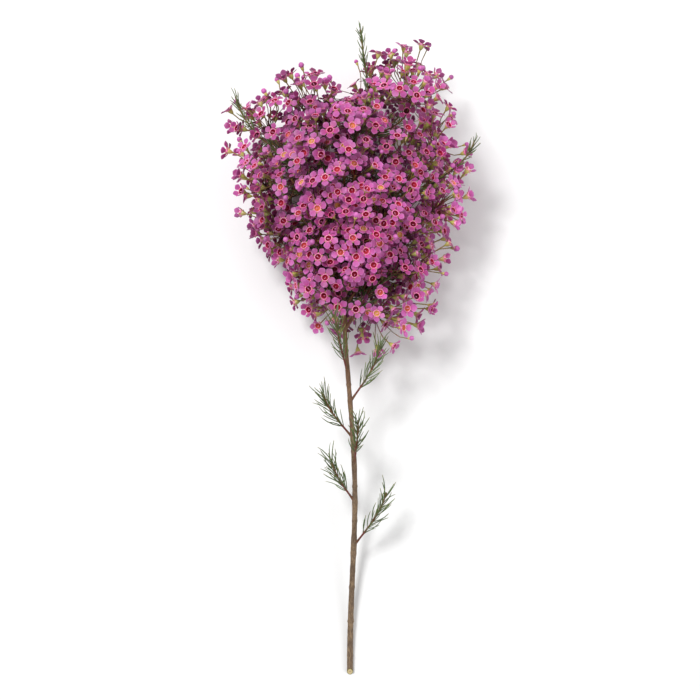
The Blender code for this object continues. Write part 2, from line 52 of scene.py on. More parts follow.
# How the blooms and their clusters spread over the crown, and which way the blooms face
SEED = 25
BLOOMS = 200
CLUSTERS = 41
MOST_IN_CLUSTER = 7
NECK = -0.78
SITE_REACH = 0.085
BLOOM_REACH = 0.042
SPREAD_STEPS = 60
SPREAD_PUSH = 0.15
CLUSTER_SHIFT = (-0.010, 0.010)
DEPTH_JITTER = 0.003
LET_DOWN = -0.97
BLOOM_CLEARANCE = 0.0008
RING_SIZES = (11, 13, 12, 5)
RING_BRANCHES = (3, 4, 4, 1)
LEAST_NORMAL_Z = -0.35
NORMAL_SCATTER = 0.20
FORWARD_LEAN = 0.22
CLUSTER_LEAN = 0.30
FAN_OUT = 0.35
LEAST_PEDICEL_LEAN = 0.35
LEAST_MIDDLE_Z = 0.016

# Branches and twigs
FORK_ANGLE = math.radians(34)
FIRST_FORK_Y = -0.089
FORK_SCATTER = 0.05
FORK_SLACK = (1.05, 1.35)
BRANCH_REACH = 0.50
LEADER_REACH = 0.45
FIRST_TWIG, LAST_TWIG = 0.62, 0.97
LIMB_PULL = 0.38
BRANCH_RADII = (0.0017, 0.0011)
TWIG_RADII = (0.0010, 0.0008)
WOODY_SHARE = 0.34
LIMB_CLEARANCE = 0.0012
LIMB_TRIES = 150
FIRST_BEND, BEND_STEP = 0.0015, 0.0005
LIMB_SWING = (0.5, 1.7)
TIP_SHOOTS = 3
TIP_SPOTS = 400
TIP_SPACING = 0.7
TIP_SHOOT_START = 0.9
TIP_SHOOT_RISE = 0.026
TIP_SHOOT_RADIUS = 0.0008
SHOOT_RADIUS = 0.0011
SHOOT_STUB = 0.009
SHOOT_LENGTH = (0.052, 0.070)
# Where a shoot leaves the stem, as (y, turn round the stem)
SHOOT_PLACES = (
    (-0.204, 0.35), (-0.160, 2.75), (-0.122, 1.35), (-0.096, 3.05), (-0.060, 0.10), (-0.032, 1.85),
)
LEAST_SHOOT_Z = 0.012

# A cluster and the outline of its solid blooms
HUB_DEPTH = 0.020
PEDUNCLE = 0.013
PEDUNCLE_RADIUS = 0.0014
PEDICEL_RADIUS = 0.0006
CALYX_DEPTH = 0.0064
PETAL_REACH = 0.0110
PETAL_NOTCH = 0.0056
PETAL_HALF_TURN = math.radians(20)
NOTCH_RISE, PETAL_RISE = 0.0007, 0.0023
BLOOM_TRIES = 130
BLOOM_STEP = 0.0003
CALYX_ROD, PETAL_ROD, PETAL_ROD_REACH = 0.003, 0.0016, 0.92
FIRST_PEDICEL, LAST_PEDICEL = 0.22, 0.98

# Needle leaves of the solids
BRANCH_WHORLS, TWIG_WHORLS, SHOOT_WHORLS = 3, 2, 5
NEEDLE_LENGTH = (0.018, 0.025)
NEEDLE_BASE = 0.0011
NEEDLE_SPLAY = 0.75
TIP_NEEDLES = (0.35, (0.014, 0.018))
SHOOT_NEEDLE_SPLAY = 0.5
NEEDLE_HALF_THICKNESS = 0.0004
NEEDLE_CLEARANCE = 0.0008
LEAST_NEEDLE_Z = 0.0008
NEAR = 0.004

# Added blooms and buds: how many are tried, how far over the crown's surface, and their least spacing
Layer = namedtuple("Layer", "name count rise gap")
LAYERS = (
    Layer("outer", 400, (-0.014, 0.001), 0.0135),
    Layer("bud", 130, (-0.002, 0.006), 0.0095),
    Layer("inner", 340, (-0.042, -0.016), 0.0136),
)
ADDED_REACH = 0.030
ADDED_TRIES = 14
NUDGE = 0.003
DEPTH_WEIGHT = 2.4
MOST_PEDICEL = 0.060
LEAST_ADDED_Z = 0.006
ADDED_ROOTS = (0.15, 0.95)
# A disc that a stalk, or a needle, has to miss at each bloom: its radius and half its thickness
STALK_DISC = (0.009, 0.0016)
NEEDLE_DISC = (0.0085, 0.0008)

GOLDEN_TURN = math.pi * (3 - math.sqrt(5))
UP = Vector((0, 0, 1))
ALONG = Vector((0, 1, 0))

Limb = namedtuple("Limb", "p0 p1 p2 p3 thick thin")
Bloom = namedtuple("Bloom", "root centre normal side")
Cluster = namedtuple("Cluster", "name foot top axis blooms shift")
Branch = namedtuple("Branch", "name limb start twigs clusters shoots")


def mixed(a, b, share):
    return a + (b - a) * share


def clamped(t):
    return min(1.0, max(0.0, t))


def smooth(t):
    t = clamped(t)
    return t * t * (3 - 2 * t)


def mean(vectors):
    return sum(vectors, Vector()) / len(vectors)


def scattered(rng, sigma):
    return Vector([rng.gauss(0, sigma) for _ in range(3)])


def boxed(rng, reach):
    return Vector([rng.uniform(-reach, reach) for _ in range(3)])


def axis_point(y):
    """The main stem's centreline: it lies on the surface at the butt and rises into the crown."""
    t = (y - BUTT_Y) / (LEADER_Y - BUTT_Y)
    sway = SWAY * math.sin(5.2 * t + 0.4) * smooth(2 * t)
    return Vector((sway, y, mixed(BUTT_RADIUS, CROWN_CENTRE.z, smooth(t / LIFT_SHARE))))


def axis_heading(y):
    return (axis_point(y + 0.002) - axis_point(y - 0.002)).normalized()


def axis_radius(y):
    return mixed(BUTT_RADIUS, LEADER_RADIUS, (y - BUTT_Y) / (LEADER_Y - BUTT_Y))


def point_on(limb, t):
    s = 1 - t
    return s**3 * limb.p0 + 3 * s * s * t * limb.p1 + 3 * s * t * t * limb.p2 + t**3 * limb.p3


def heading_on(limb, t):
    s = 1 - t
    slope = s * s * (limb.p1 - limb.p0) + 2 * s * t * (limb.p2 - limb.p1) + t * t * (limb.p3 - limb.p2)
    return slope.normalized()


def radius_on(limb, t):
    return mixed(limb.thick, limb.thin, t)


def limb_between(start, away, end, arrive, radii):
    """A curve that leaves start along away and reaches end along arrive."""
    pull = (end - start).length * LIMB_PULL
    return Limb(start, start + away * pull, end - arrive * pull, end, *radii)


def side_of(direction):
    """A unit vector square to direction."""
    return direction.cross(UP if abs(direction.z) < 0.9 else ALONG).normalized()


def square_to(direction, reference):
    """Two unit vectors square to direction, the first of them nearest to reference."""
    other = direction.cross(reference).normalized()
    return other.cross(direction), other


def turned_out(side, other, turn):
    return side * math.cos(turn) + other * math.sin(turn)


def random_side(normal, rng):
    side = side_of(normal)
    return turned_out(side, normal.cross(side), rng.uniform(0, math.tau))


def crown_lobes():
    """The crown's domes as (centre, radius) in a space where the crown is a unit ball."""
    rng = random.Random(LOBE_SEED)
    lobes = []
    for i in range(LOBES):
        y = 1 - (2 * i + 1) / LOBES
        turn = i * GOLDEN_TURN + rng.uniform(-0.3, 0.3)
        reach = math.sqrt(1 - y * y)
        out = Vector((reach * math.cos(turn), y, reach * math.sin(turn)))
        lobes.append((out * rng.uniform(*LOBE_OUT), rng.uniform(*LOBE_RADIUS)))
    return lobes


def crown_half(y):
    """The crown's half sizes where its unit ball has this y. They narrow towards the neck."""
    taper = 1 + CROWN_TAPER * y
    return np.stack([CROWN_HALF.x * taper, CROWN_HALF.y + 0 * taper, CROWN_HALF.z * taper], axis=-1)


def on_crown(unit):
    """The crown's surface point and normal in a direction from its centre, on its furthest dome."""
    swell, facing = LEAST_SWELL, unit
    for centre, radius in CROWN_LOBES:
        along = unit.dot(centre)
        square = along * along - centre.length_squared + radius * radius
        if square > 0 and along + math.sqrt(square) > swell:
            swell = along + math.sqrt(square)
            facing = unit * swell - centre
    point = CROWN_CENTRE + Vector([u * h for u, h in zip(unit, crown_half(unit.y))]) * swell
    outward = mixed(unit, facing.normalized(), LOBE_FACING)
    normal = Vector([u / h for u, h in zip(outward, CROWN_HALF)]).normalized()
    return point, normal


CROWN_LOBES = crown_lobes()


def spread_units(count, reach, rng, fixed=()):
    """Directions from the crown's centre: random at first, then pushed apart, and off the fixed ones."""
    units = np.array([[rng.gauss(0, 1) for _ in range(3)] for _ in range(count)])
    kept = np.array([tuple(unit) for unit in fixed]).reshape(-1, 3)
    kept *= crown_half(kept[:, 1])
    for _ in range(SPREAD_STEPS):
        units /= np.linalg.norm(units, axis=1)[:, None]
        units[:, 1] = np.maximum(units[:, 1], NECK)
        half = crown_half(units[:, 1])
        points = units * half
        away = points[:, None] - np.concatenate([points, kept])[None]
        gap = np.linalg.norm(away, axis=2)
        pull = np.where((gap > 0) & (gap < reach), (reach - gap) / (gap + 1e-4), 0.0)
        points += (away * pull[:, :, None]).sum(axis=1) * SPREAD_PUSH
        units = points / half
    units /= np.linalg.norm(units, axis=1)[:, None]
    return [Vector(unit) for unit in units]


def clustered(bloom_units, sites):
    """The blooms shared out to the nearest cluster site that still has room."""
    pairs = []
    for i, unit in enumerate(bloom_units):
        for j, site in enumerate(sites):
            pairs.append(((on_crown(unit)[0] - on_crown(site)[0]).length, i, j))
    groups = [[] for _ in sites]
    taken = set()
    for _, i, j in sorted(pairs):
        if i not in taken and len(groups[j]) < MOST_IN_CLUSTER:
            groups[j].append(bloom_units[i])
            taken.add(i)
    return groups


def ringed(groups, sites):
    """The clusters in rings from the neck to the tip, each ring cut into sets that share a branch."""
    rest = sorted(zip(sites, groups), key=lambda pair: pair[0].y)
    sets = []
    for size, count in zip(RING_SIZES, RING_BRANCHES):
        ring, rest = rest[:size], rest[size:]
        ring.sort(key=lambda pair: math.atan2(pair[0].z, pair[0].x))
        cuts = [round(size * i / count) for i in range(count + 1)]
        sets += [[group for _, group in ring[a:b]] for a, b in zip(cuts, cuts[1:])]
    return sets


def petal_edge(bloom):
    """The outline of the five petals: a notch and two shoulders for each."""
    side, other = square_to(bloom.normal, bloom.side)
    edge = []
    for petal in range(5):
        middle = (petal + 0.5) * math.tau / 5
        for angle, reach, rise in (
            (middle - math.pi / 5, PETAL_NOTCH, NOTCH_RISE),
            (middle - PETAL_HALF_TURN, PETAL_REACH, PETAL_RISE),
            (middle + PETAL_HALF_TURN, PETAL_REACH, PETAL_RISE),
        ):
            edge.append(bloom.centre + turned_out(side, other, angle) * reach + bloom.normal * rise)
    return edge


def unfolded(bloom):
    """The bloom turned, where it has to be, so that its pedicel meets the calyx from behind."""
    for _ in range(6):
        pedicel = (bloom.centre - bloom.normal * CALYX_DEPTH - bloom.root).normalized()
        if bloom.normal.dot(pedicel) < LEAST_PEDICEL_LEAN:
            bloom = bloom._replace(normal=(bloom.normal + pedicel * 0.5).normalized())
    return bloom


def rested(bloom, let_down):
    """The bloom lifted until no petal is under the surface. One that is let down always ends on it."""
    lowest = min(corner.z for corner in petal_edge(bloom))
    return bloom._replace(centre=bloom.centre - UP * lowest) if lowest < 0 or let_down else bloom


def make_cluster(units, name, space, rng):
    """Blooms on the crown's surface, and the stalk below them from which their pedicels leave."""
    spots = []
    shift = rng.uniform(*CLUSTER_SHIFT)
    for unit in units:
        point, normal = on_crown(unit)
        let_down = normal.z < LET_DOWN
        normal.z = max(normal.z, LEAST_NORMAL_Z)
        normal = (normal + ALONG * FORWARD_LEAN + scattered(rng, NORMAL_SCATTER)).normalized()
        depth = shift + rng.uniform(-DEPTH_JITTER, DEPTH_JITTER)
        spots.append((point + normal * depth, normal, let_down))
    middle, outward = mean([spot[0] for spot in spots]), mean([spot[1] for spot in spots])
    axis = (outward.normalized() + ALONG * CLUSTER_LEAN).normalized()
    middle.z = max(middle.z, LEAST_MIDDLE_Z)
    top = middle - axis * HUB_DEPTH
    foot = top - axis * PEDUNCLE
    spots.sort(key=lambda spot: -(spot[0] - middle).length)
    blooms = []
    for i, (point, normal, let_down) in enumerate(spots):
        normal = (normal + (point - top).normalized() * FAN_OUT).normalized()
        root = mixed(foot, top, mixed(FIRST_PEDICEL, LAST_PEDICEL, i / len(spots)))
        bloom = Bloom(root, point, normal, random_side(normal, rng))
        blooms.append(settled_bloom(bloom, let_down, blooms, name, space, rng))
    return Cluster(name, foot, top, axis, blooms, shift)


def bloom_rods(bloom):
    """A bloom as rods: its pedicel, its calyx and a spoke to each corner of the petals."""
    base = bloom.centre - bloom.normal * CALYX_DEPTH
    rods = [(bloom.root, base, PEDICEL_RADIUS), (base, bloom.centre, CALYX_ROD)]
    for point in petal_edge(bloom):
        rods.append((bloom.centre, mixed(bloom.centre, point, PETAL_ROD_REACH), PETAL_ROD))
    return rods


def settled_bloom(bloom, let_down, sisters, owner, space, rng):
    """The bloom, moved a little more at each try until it keeps clear of what is already placed."""
    best, most = None, -1.0
    for i in range(BLOOM_TRIES):
        trial = rested(bloom._replace(centre=bloom.centre + boxed(rng, BLOOM_STEP * i)), let_down)
        gaps = [(trial.centre - sister.centre).length - 2 * PETAL_REACH for sister in sisters]
        room = min(gaps + [space.room(*rod, (owner,)) for rod in bloom_rods(trial)])
        if room > most:
            best, most = trial, room
        if most >= BLOOM_CLEARANCE:
            break
    return rested(unfolded(best), let_down)


class Space:
    """The rods and petals already placed, so that a later limb or needle can keep clear of them."""

    def __init__(self):
        self.rods = []

    def add(self, owner, a, b, radius, limb=None):
        self.rods.append((owner, limb, a, b, radius, (a + b) / 2, (a - b).length / 2 + radius))

    def add_limb(self, owner, limb, t0=0.0, t1=1.0):
        ts = [mixed(t0, t1, i / 5) for i in range(6)]
        for t, after in zip(ts, ts[1:]):
            self.add(owner, point_on(limb, t), point_on(limb, after), radius_on(limb, t), limb)

    def add_cluster(self, cluster):
        self.add(cluster.name, cluster.foot, cluster.top, PEDUNCLE_RADIUS)
        for bloom in cluster.blooms:
            for rod in bloom_rods(bloom):
                self.add(cluster.name, *rod)

    def room(self, a, b, radius, owners, limb=None):
        """The narrowest gap from a rod to what is placed, leaving out its own limb, or else its owners."""
        middle, half = (a + b) / 2, (b - a).length / 2 + radius
        least = NEAR
        for other, other_limb, c, d, other_radius, other_middle, other_half in self.rods:
            own = other_limb is limb if limb else other in owners
            if not own and (other_middle - middle).length < half + other_half + NEAR:
                least = min(least, segment_gap(a, b, c, d) - radius - other_radius)
        return least

    def limb_room(self, owners, limb, t0):
        ts = [mixed(t0, 1.0, i / 6) for i in range(7)]
        ends = [(point_on(limb, t), radius_on(limb, t)) for t in ts]
        return min(self.room(a, b, radius, owners) for (a, radius), (b, _) in zip(ends, ends[1:]))


def segment_gap(a0, a1, b0, b1):
    """The shortest distance between two straight segments."""
    u, v, w = a1 - a0, b1 - b0, a0 - b0
    a, b, c, d, e = u.dot(u), u.dot(v), v.dot(v), u.dot(w), v.dot(w)
    det = a * c - b * b
    s = clamped((b * e - c * d) / det) if det > 1e-14 else 0.0
    t = clamped((b * s + e) / c) if c > 1e-14 else 0.0
    s = clamped((b * t - d) / a) if a > 1e-14 else 0.0
    return (a0 + u * s - b0 - v * t).length


def settled(limb, owners, space, rng, t0=0.0):
    """The limb, bent a little more at each try until it keeps clear of every node but its owners."""
    best, most = limb, space.limb_room(owners, limb, t0)
    for i in range(LIMB_TRIES):
        if most >= LIMB_CLEARANCE:
            break
        bent = limb.p1 + boxed(rng, FIRST_BEND + BEND_STEP * i)
        trial = limb._replace(p1=bent, p2=mixed(limb.p3, limb.p2, rng.uniform(*LIMB_SWING)))
        room = space.limb_room(owners, trial, t0)
        if room > most:
            best, most = trial, room
    return best


def branch_limb(clusters, rng, leader):
    """One side branch, starting low enough on the stem to leave it at the fork angle."""
    middle = mean([cluster.foot for cluster in clusters])
    if leader:
        start, away = axis_point(LEADER_Y), axis_heading(LEADER_Y)
        end = mixed(start, middle, LEADER_REACH)
    else:
        spread = Vector((middle.x, 0, middle.z - CROWN_CENTRE.z))
        y = middle.y - spread.length / math.tan(FORK_ANGLE) * rng.uniform(*FORK_SLACK)
        start = axis_point(max(FIRST_FORK_Y + rng.uniform(0, FORK_SCATTER), y))
        away = axis_heading(start.y) * math.cos(FORK_ANGLE) + spread.normalized() * math.sin(FORK_ANGLE)
        end = mixed(start, middle, BRANCH_REACH)
    return limb_between(start, away.normalized(), end, (middle - start).normalized(), BRANCH_RADII)


def tip_sites(units, count):
    """Directions on the crown's upper and far side that lie furthest from every bloom."""
    found = []
    for i in range(TIP_SPOTS):
        y = 1 - (i + 0.5) / TIP_SPOTS * 0.9
        angle = i * GOLDEN_TURN
        reach = math.sqrt(1 - y * y)
        unit = Vector((reach * math.cos(angle), y, reach * math.sin(angle)))
        if unit.z > 0.05:
            point = on_crown(unit)[0]
            found.append((min((point - on_crown(other)[0]).length for other in units), unit))
    found.sort(key=lambda pair: -pair[0])
    chosen = []
    for _, unit in found:
        if all((unit - other).length > TIP_SPACING for other in chosen):
            chosen.append(unit)
    return chosen[:count]


def lower_shoots(rng):
    """Short leafy shoots on the stem below the crown, turned round it and kept off the surface."""
    shoots = []
    for y, turn in SHOOT_PLACES:
        out = Vector((math.cos(turn), 0, math.sin(turn)))
        away = (axis_heading(y) * 0.80 + out * 0.60).normalized()
        start = axis_point(y)
        length = rng.uniform(*SHOOT_LENGTH)
        arrive = (axis_heading(y) + out * 0.25).normalized()
        end = start + away * length * 0.75 + arrive * length * 0.25
        end.z = max(end.z, LEAST_SHOOT_Z)
        shoots.append(limb_between(start, away, end, arrive, (SHOOT_RADIUS, SHOOT_RADIUS * 0.7)))
    return shoots


def shoot_name(i):
    return f"leafy_shoot_{i + 1}"


def grown(limb, name, owners, space, rng, t0=0.0):
    """The limb, bent where it has to be, and added to the space in its owner's name."""
    limb = settled(limb, owners, space, rng, t0)
    space.add_limb(name, limb)
    return limb


def grow():
    """The whole skeleton, and the space that it fills. Limbs that come too near another node are bent."""
    rng = random.Random(SEED)
    sites = spread_units(CLUSTERS, SITE_REACH, rng)
    bloom_units = spread_units(BLOOMS, BLOOM_REACH, rng)
    sets = ringed(clustered(bloom_units, sites), sites)
    space = Space()
    for i in range(20):
        y, after = (mixed(BUTT_Y, LEADER_Y, (i + k) / 20) for k in (0, 1))
        space.add("woody_stem", axis_point(y), axis_point(after), axis_radius(y))
    branches = []
    clusters = []
    for groups in sets:
        clusters.append([])
        for units in groups:
            name = f"bloom_cluster_{sum(map(len, clusters)) + 1:02d}"
            clusters[-1].append(make_cluster(units, name, space, rng))
            space.add_cluster(clusters[-1][-1])
    for i, group in enumerate(clusters):
        name, leader = f"leafy_branch_{i + 1:02d}", i == len(clusters) - 1
        limb = branch_limb(group, rng, leader)
        woody = 0.0 if leader else WOODY_SHARE
        if not leader:
            limb = settled(limb, (name,), space, rng, WOODY_SHARE + 0.05)
            space.add_limb("woody_stem", limb, 0.0, woody)
        space.add_limb(name, limb, woody)
        branches.append(Branch(name, limb, woody, [], group, []))
    for name, limb, _, twigs, group, _ in branches:
        near_first = sorted(group, key=lambda c: (c.foot - limb.p0).length)
        for k, cluster in enumerate(near_first):
            t = mixed(FIRST_TWIG, LAST_TWIG, k / max(1, len(group) - 1))
            start = point_on(limb, t)
            away = (heading_on(limb, t) + (cluster.foot - start).normalized()).normalized()
            twig = limb_between(start, away, cluster.foot, cluster.axis, TWIG_RADII)
            twigs.append(grown(twig, name, (name, cluster.name), space, rng))
    for unit in tip_sites(bloom_units, TIP_SHOOTS):
        point, normal = on_crown(unit)
        tip = point + (normal + ALONG * 0.7).normalized() * TIP_SHOOT_RISE
        branch = min(branches, key=lambda b: (point_on(b.limb, 1) - point).length)
        start, away = (part(branch.limb, TIP_SHOOT_START) for part in (point_on, heading_on))
        arrive = (normal * 0.6 + ALONG).normalized()
        shoot = limb_between(start, away, tip, arrive, (TIP_SHOOT_RADIUS, TIP_SHOOT_RADIUS))
        branch.shoots.append(grown(shoot, branch.name, (branch.name,), space, rng))
    shoots = []
    for i, shoot in enumerate(lower_shoots(rng)):
        shoots.append(grown(shoot, shoot_name(i), (shoot_name(i),), space, rng, 0.35))
    return branches, shoots, space, bloom_units


def stub_share(shoot):
    return SHOOT_STUB / (shoot.p3 - shoot.p0).length


def ring_points(centre, direction, reference, radius, count, phase=0.0):
    side, other = square_to(direction, reference)
    turns = [phase + math.tau * i / count for i in range(count)]
    return [centre + turned_out(side, other, turn) * radius for turn in turns]


def solid_needles(limb, t0, whorls, owner, space, rng, splay=NEEDLE_SPLAY, lengths=NEEDLE_LENGTH):
    """The needles that the solid twig has, as (root, tip)."""
    reference = side_of(heading_on(limb, 0.5))
    half = NEEDLE_BASE / (limb.p3 - limb.p0).length / 2
    needles = []
    for k in range(whorls):
        t = mixed(t0, 1.0, (k + 0.75) / (whorls + 0.25))
        phase = (k % 2) * math.pi / 3
        lower, upper = (
            ring_points(point_on(limb, u), heading_on(limb, u), reference, radius_on(limb, u), 3, phase)
            for u in (t - half, t + half)
        )
        middle, forward = point_on(limb, t - half), heading_on(limb, t - half)
        for i in range(3):
            root = mean((lower[i], lower[(i + 1) % 3], upper[(i + 1) % 3], upper[i]))
            out = (root - middle - forward * (root - middle).dot(forward)).normalized()
            direction = (forward + out * splay * rng.uniform(0.85, 1.2)).normalized()
            tip = root + direction * rng.uniform(*lengths)
            rod = (root, tip, NEEDLE_HALF_THICKNESS)
            if tip.z >= LEAST_NEEDLE_Z and space.room(*rod, (owner,), limb) >= NEEDLE_CLEARANCE:
                space.add(owner, *rod, limb)
                needles.append((root, tip))
    return needles


def shape_needles(branches, shoots, space):
    """The solids' needles for each branch with its twigs, and for each shoot."""
    rng = random.Random(SEED + 1)
    on_branches = []
    for name, limb, start, twigs, _, tip_shoots in branches:
        found = solid_needles(limb, start, BRANCH_WHORLS, name, space, rng)
        for twig in twigs:
            found += solid_needles(twig, 0.0, TWIG_WHORLS, name, space, rng)
        for shoot in tip_shoots:
            found += solid_needles(shoot, 0.0, SHOOT_WHORLS, name, space, rng, *TIP_NEEDLES)
        on_branches.append(found)
    on_shoots = [
        solid_needles(shoot, stub_share(shoot), SHOOT_WHORLS, shoot_name(i), space, rng, SHOOT_NEEDLE_SPLAY)
        for i, shoot in enumerate(shoots)
    ]
    return on_branches, on_shoots


# Swept forms

# The third paint is a tone that varies at random and also holds painted shade for parts that lie deep in the
# crown
PAINTS = ("reach", "across", "tone", "age")
SHARP_ANGLE = math.radians(55)


def new_object(name, data):
    made = bpy.data.objects.new(name, data)
    bpy.context.scene.collection.objects.link(made)
    return made


class Batch:
    """Swept forms gathered for one mesh, with the values that its materials read painted on the points."""

    def __init__(self):
        self.points, self.loops, self.sizes, self.slots = [], [], [], []
        self.paints = {name: [] for name in PAINTS}
        self.count = 0

    def sweep(self, rings, slot=0, **paints):
        """A closed form through rings of points that run right-handed round the way they are swept.

        The slot is one number, or a list with one for each band between two rings. A paint is one number,
        a column with one for each ring, or a row with one for each point of a ring.
        """
        rings = np.asarray(rings, dtype=float)
        rows, sides = rings.shape[:2]
        index = self.count + np.arange(rows * sides).reshape(rows, sides)
        after = np.roll(index, -1, axis=1)
        quads = np.stack([index[:-1], after[:-1], after[1:], index[1:]], axis=2)
        bands = np.broadcast_to(slot, rows - 1)
        self.points.append(rings.reshape(-1, 3))
        self.loops += [quads.ravel(), index[0, ::-1], index[-1]]
        self.sizes += [4] * ((rows - 1) * sides) + [sides, sides]
        self.slots += [np.repeat(bands, sides), bands[[0, -1]]]
        for name in PAINTS:
            value = np.broadcast_to(np.asarray(paints.get(name, 0.0), dtype=float), (rows, sides))
            self.paints[name].append(value.ravel())
        self.count += rows * sides

    def to_object(self, name, materials):
        mesh = bpy.data.meshes.new(name)
        loops, sizes = np.concatenate(self.loops), np.array(self.sizes)
        mesh.vertices.add(self.count)
        mesh.vertices.foreach_set("co", np.concatenate(self.points).ravel())
        mesh.loops.add(len(loops))
        mesh.loops.foreach_set("vertex_index", loops)
        mesh.polygons.add(len(sizes))
        mesh.polygons.foreach_set("loop_start", np.concatenate([[0], np.cumsum(sizes)[:-1]]))
        for material in materials:
            mesh.materials.append(material)
        mesh.polygons.foreach_set("material_index", np.concatenate(self.slots))
        mesh.update(calc_edges=True)
        for paint, values in self.paints.items():
            mesh.attributes.new(paint, "FLOAT", "POINT").data.foreach_set("value", np.concatenate(values))
        mesh.shade_smooth()
        mesh.set_sharp_from_angle(angle=SHARP_ANGLE)
        return new_object(name, mesh)


def placed(local, origin, x, y, z):
    """Local points, set at an origin along three axes."""
    return np.array(origin) + np.asarray(local) @ np.array([x, y, z])


def loop_turns(count):
    return np.arange(count) * math.tau / count


def column(first, last, count):
    """Evenly spaced values, one for each ring."""
    return np.linspace(first, last, count)[:, None]


def turned(profile, sides, ripple=0.0):
    """A lathe form about z through (radius, height) pairs. A ripple draws every second side in."""
    radius, height = np.array(profile).T
    across = radius[:, None] * (1 - ripple * (np.arange(sides) % 2))
    turns = loop_turns(sides)
    return np.stack([across * np.cos(turns), across * np.sin(turns), height[:, None] + 0 * across], axis=2)


def tube(points, radii, sides):
    """Round rings along a line of points, each square to the line there."""
    points = [Vector(p) for p in points]
    reference = side_of(points[-1] - points[0])
    turns = loop_turns(sides)
    circle = np.stack([np.cos(turns), np.sin(turns), 0 * turns], axis=1)
    rings = []
    for i, point in enumerate(points):
        heading = (points[min(i + 1, len(points) - 1)] - points[max(i - 1, 0)]).normalized()
        reference, other = square_to(heading, reference)
        rings.append(placed(circle * radii[i], point, reference, other, heading))
    return np.array(rings)


def curve(start, away, end, arrive, count):
    """Points on a smooth curve that leaves start along away and reaches end along arrive."""
    limb = limb_between(start, away, end, arrive, (0, 0))
    return [point_on(limb, i / (count - 1)) for i in range(count)]


# One bloom

PETAL_STATIONS = np.array([0.0, 0.16, 0.36, 0.58, 0.79, 0.93, 0.99])
PETAL_LOOP = loop_turns(6)
PETAL_THICKNESS = 0.00034
PETAL_WIDEST = 0.58
PETAL_CLAW = 0.36
PETAL_BOW = 0.12
PETAL_FOOT = (0.0033, 0.0001)
PETAL_ASPECT = (0.52, 0.59)
PETAL_LENGTHS = (0.95, 1.04)
PETAL_DISH = (0.08, 0.30)
PETAL_WAVE = (0.0, 0.05)
FINE_REACH = (0.0086, 0.0104)
PETAL_TONE = 0.06
AGE_SCATTER = 0.2
# Openness of a bloom: share of blooms, petal pitch and curl in radians
BLOOM_MOODS = (
    (0.58, (0.10, 0.36), (-0.10, 0.24)),
    (0.32, (0.55, 1.00), (0.05, 0.45)),
    (0.10, (-0.25, 0.02), (-0.55, -0.25)),
)
CUP = (
    (0.0022, -0.0022), (0.0040, 0.0000), (0.0039, 0.0008), (0.0032, 0.0007),
    (0.0029, -0.0004), (0.0022, -0.0014), (0.0003, -0.0018),
)
CUP_REACH = np.array([0.0, 0.5, 0.9, 1.0, 1.3, 1.6, 2.0])[:, None]
CUP_RIPPLE = 0.06
CALYX = ((0.0006, -0.0066), (0.0013, -0.0056), (0.0023, -0.0036), (0.0032, -0.0008), (0.0020, -0.0024))
CALYX_RIB = 0.10
CALYX_FOOT = 0.0062
STYLE_LENGTH = 0.0034
STYLE_FOOT = 0.0017
STYLE_RADII = (0.00026, 0.00022, 0.00050, 0.00030)
STYLE_LEAN = (0.3, 0.95)
STAMENS = 10
STAMEN_LINE = ((0.0037, 0.0004), (0.0033, 0.0015))
STAMEN_RADII = (0.00015, 0.00026)
SEPAL = ((0.0026, 0.0009, -0.0010), (0.0040, 0.0011, -0.0005), (0.0050, 0.0004, 0.0001))
SEPAL_LOOP = loop_turns(4)
SEPAL_THICKNESS = 0.00016
PEDICEL_RADII = np.array([0.0006, 0.00046, 0.00042, 0.00044, 0.00052, 0.0007])
BUD_PROFILE = (
    (0.0004, 0.0), (0.0021, 0.0008), (0.0031, 0.0025), (0.0027, 0.0044), (0.0014, 0.0056), (0.0003, 0.0059),
)
BUD_CALYX = ((0.0005, -0.0040), (0.0013, -0.0026), (0.0021, 0.0000), (0.0018, 0.0009))
BUD_FOOT = 0.0037
BUD_SWIRL = 0.35
BUD_SIDES = 12
SURFACE_GAP = 0.0002
PETAL, RING, NECTARY = 0, 1, 2
CUP_SLOTS = (RING, RING, RING, NECTARY, NECTARY, NECTARY)


def petal_half_width(s):
    """Half the petal's width as a share of its widest: a narrow claw, then a round blade."""
    claw = PETAL_CLAW + (1 - PETAL_CLAW) * np.sin(np.clip(s / PETAL_WIDEST, 0, 1) * math.pi / 2) ** 1.6
    blade = np.sqrt(np.clip(1 - ((s - PETAL_WIDEST) / (1.015 - PETAL_WIDEST)) ** 2, 0, 1))
    return np.where(s < PETAL_WIDEST, claw, blade)


def petal_rings(length, aspect, pitch, curl, dish, twist, wave):
    """Cross-sections of a petal in its own frame: x out from the bloom's axis, y across, z up."""
    s = PETAL_STATIONS[:, None]
    angle = pitch + curl * s
    steps = np.diff(s, axis=0, prepend=0.0) * length
    half = petal_half_width(s) * length * aspect
    v = np.cos(PETAL_LOOP)[None]
    bow = PETAL_BOW * length * (1 - v**2) * s
    bend = dish * v**2 + twist * v * s + wave * np.sin(2.6 * v + 5 * s) * s
    lift = np.sin(PETAL_LOOP)[None] * PETAL_THICKNESS / 2 + half * bend
    out, up = np.cos(angle), np.sin(angle)
    x = PETAL_FOOT[0] + np.cumsum(out * steps, axis=0)
    z = PETAL_FOOT[1] + np.cumsum(up * steps, axis=0)
    return np.stack([x + bow * out - lift * up, half * v, z + bow * up + lift * out], axis=2)


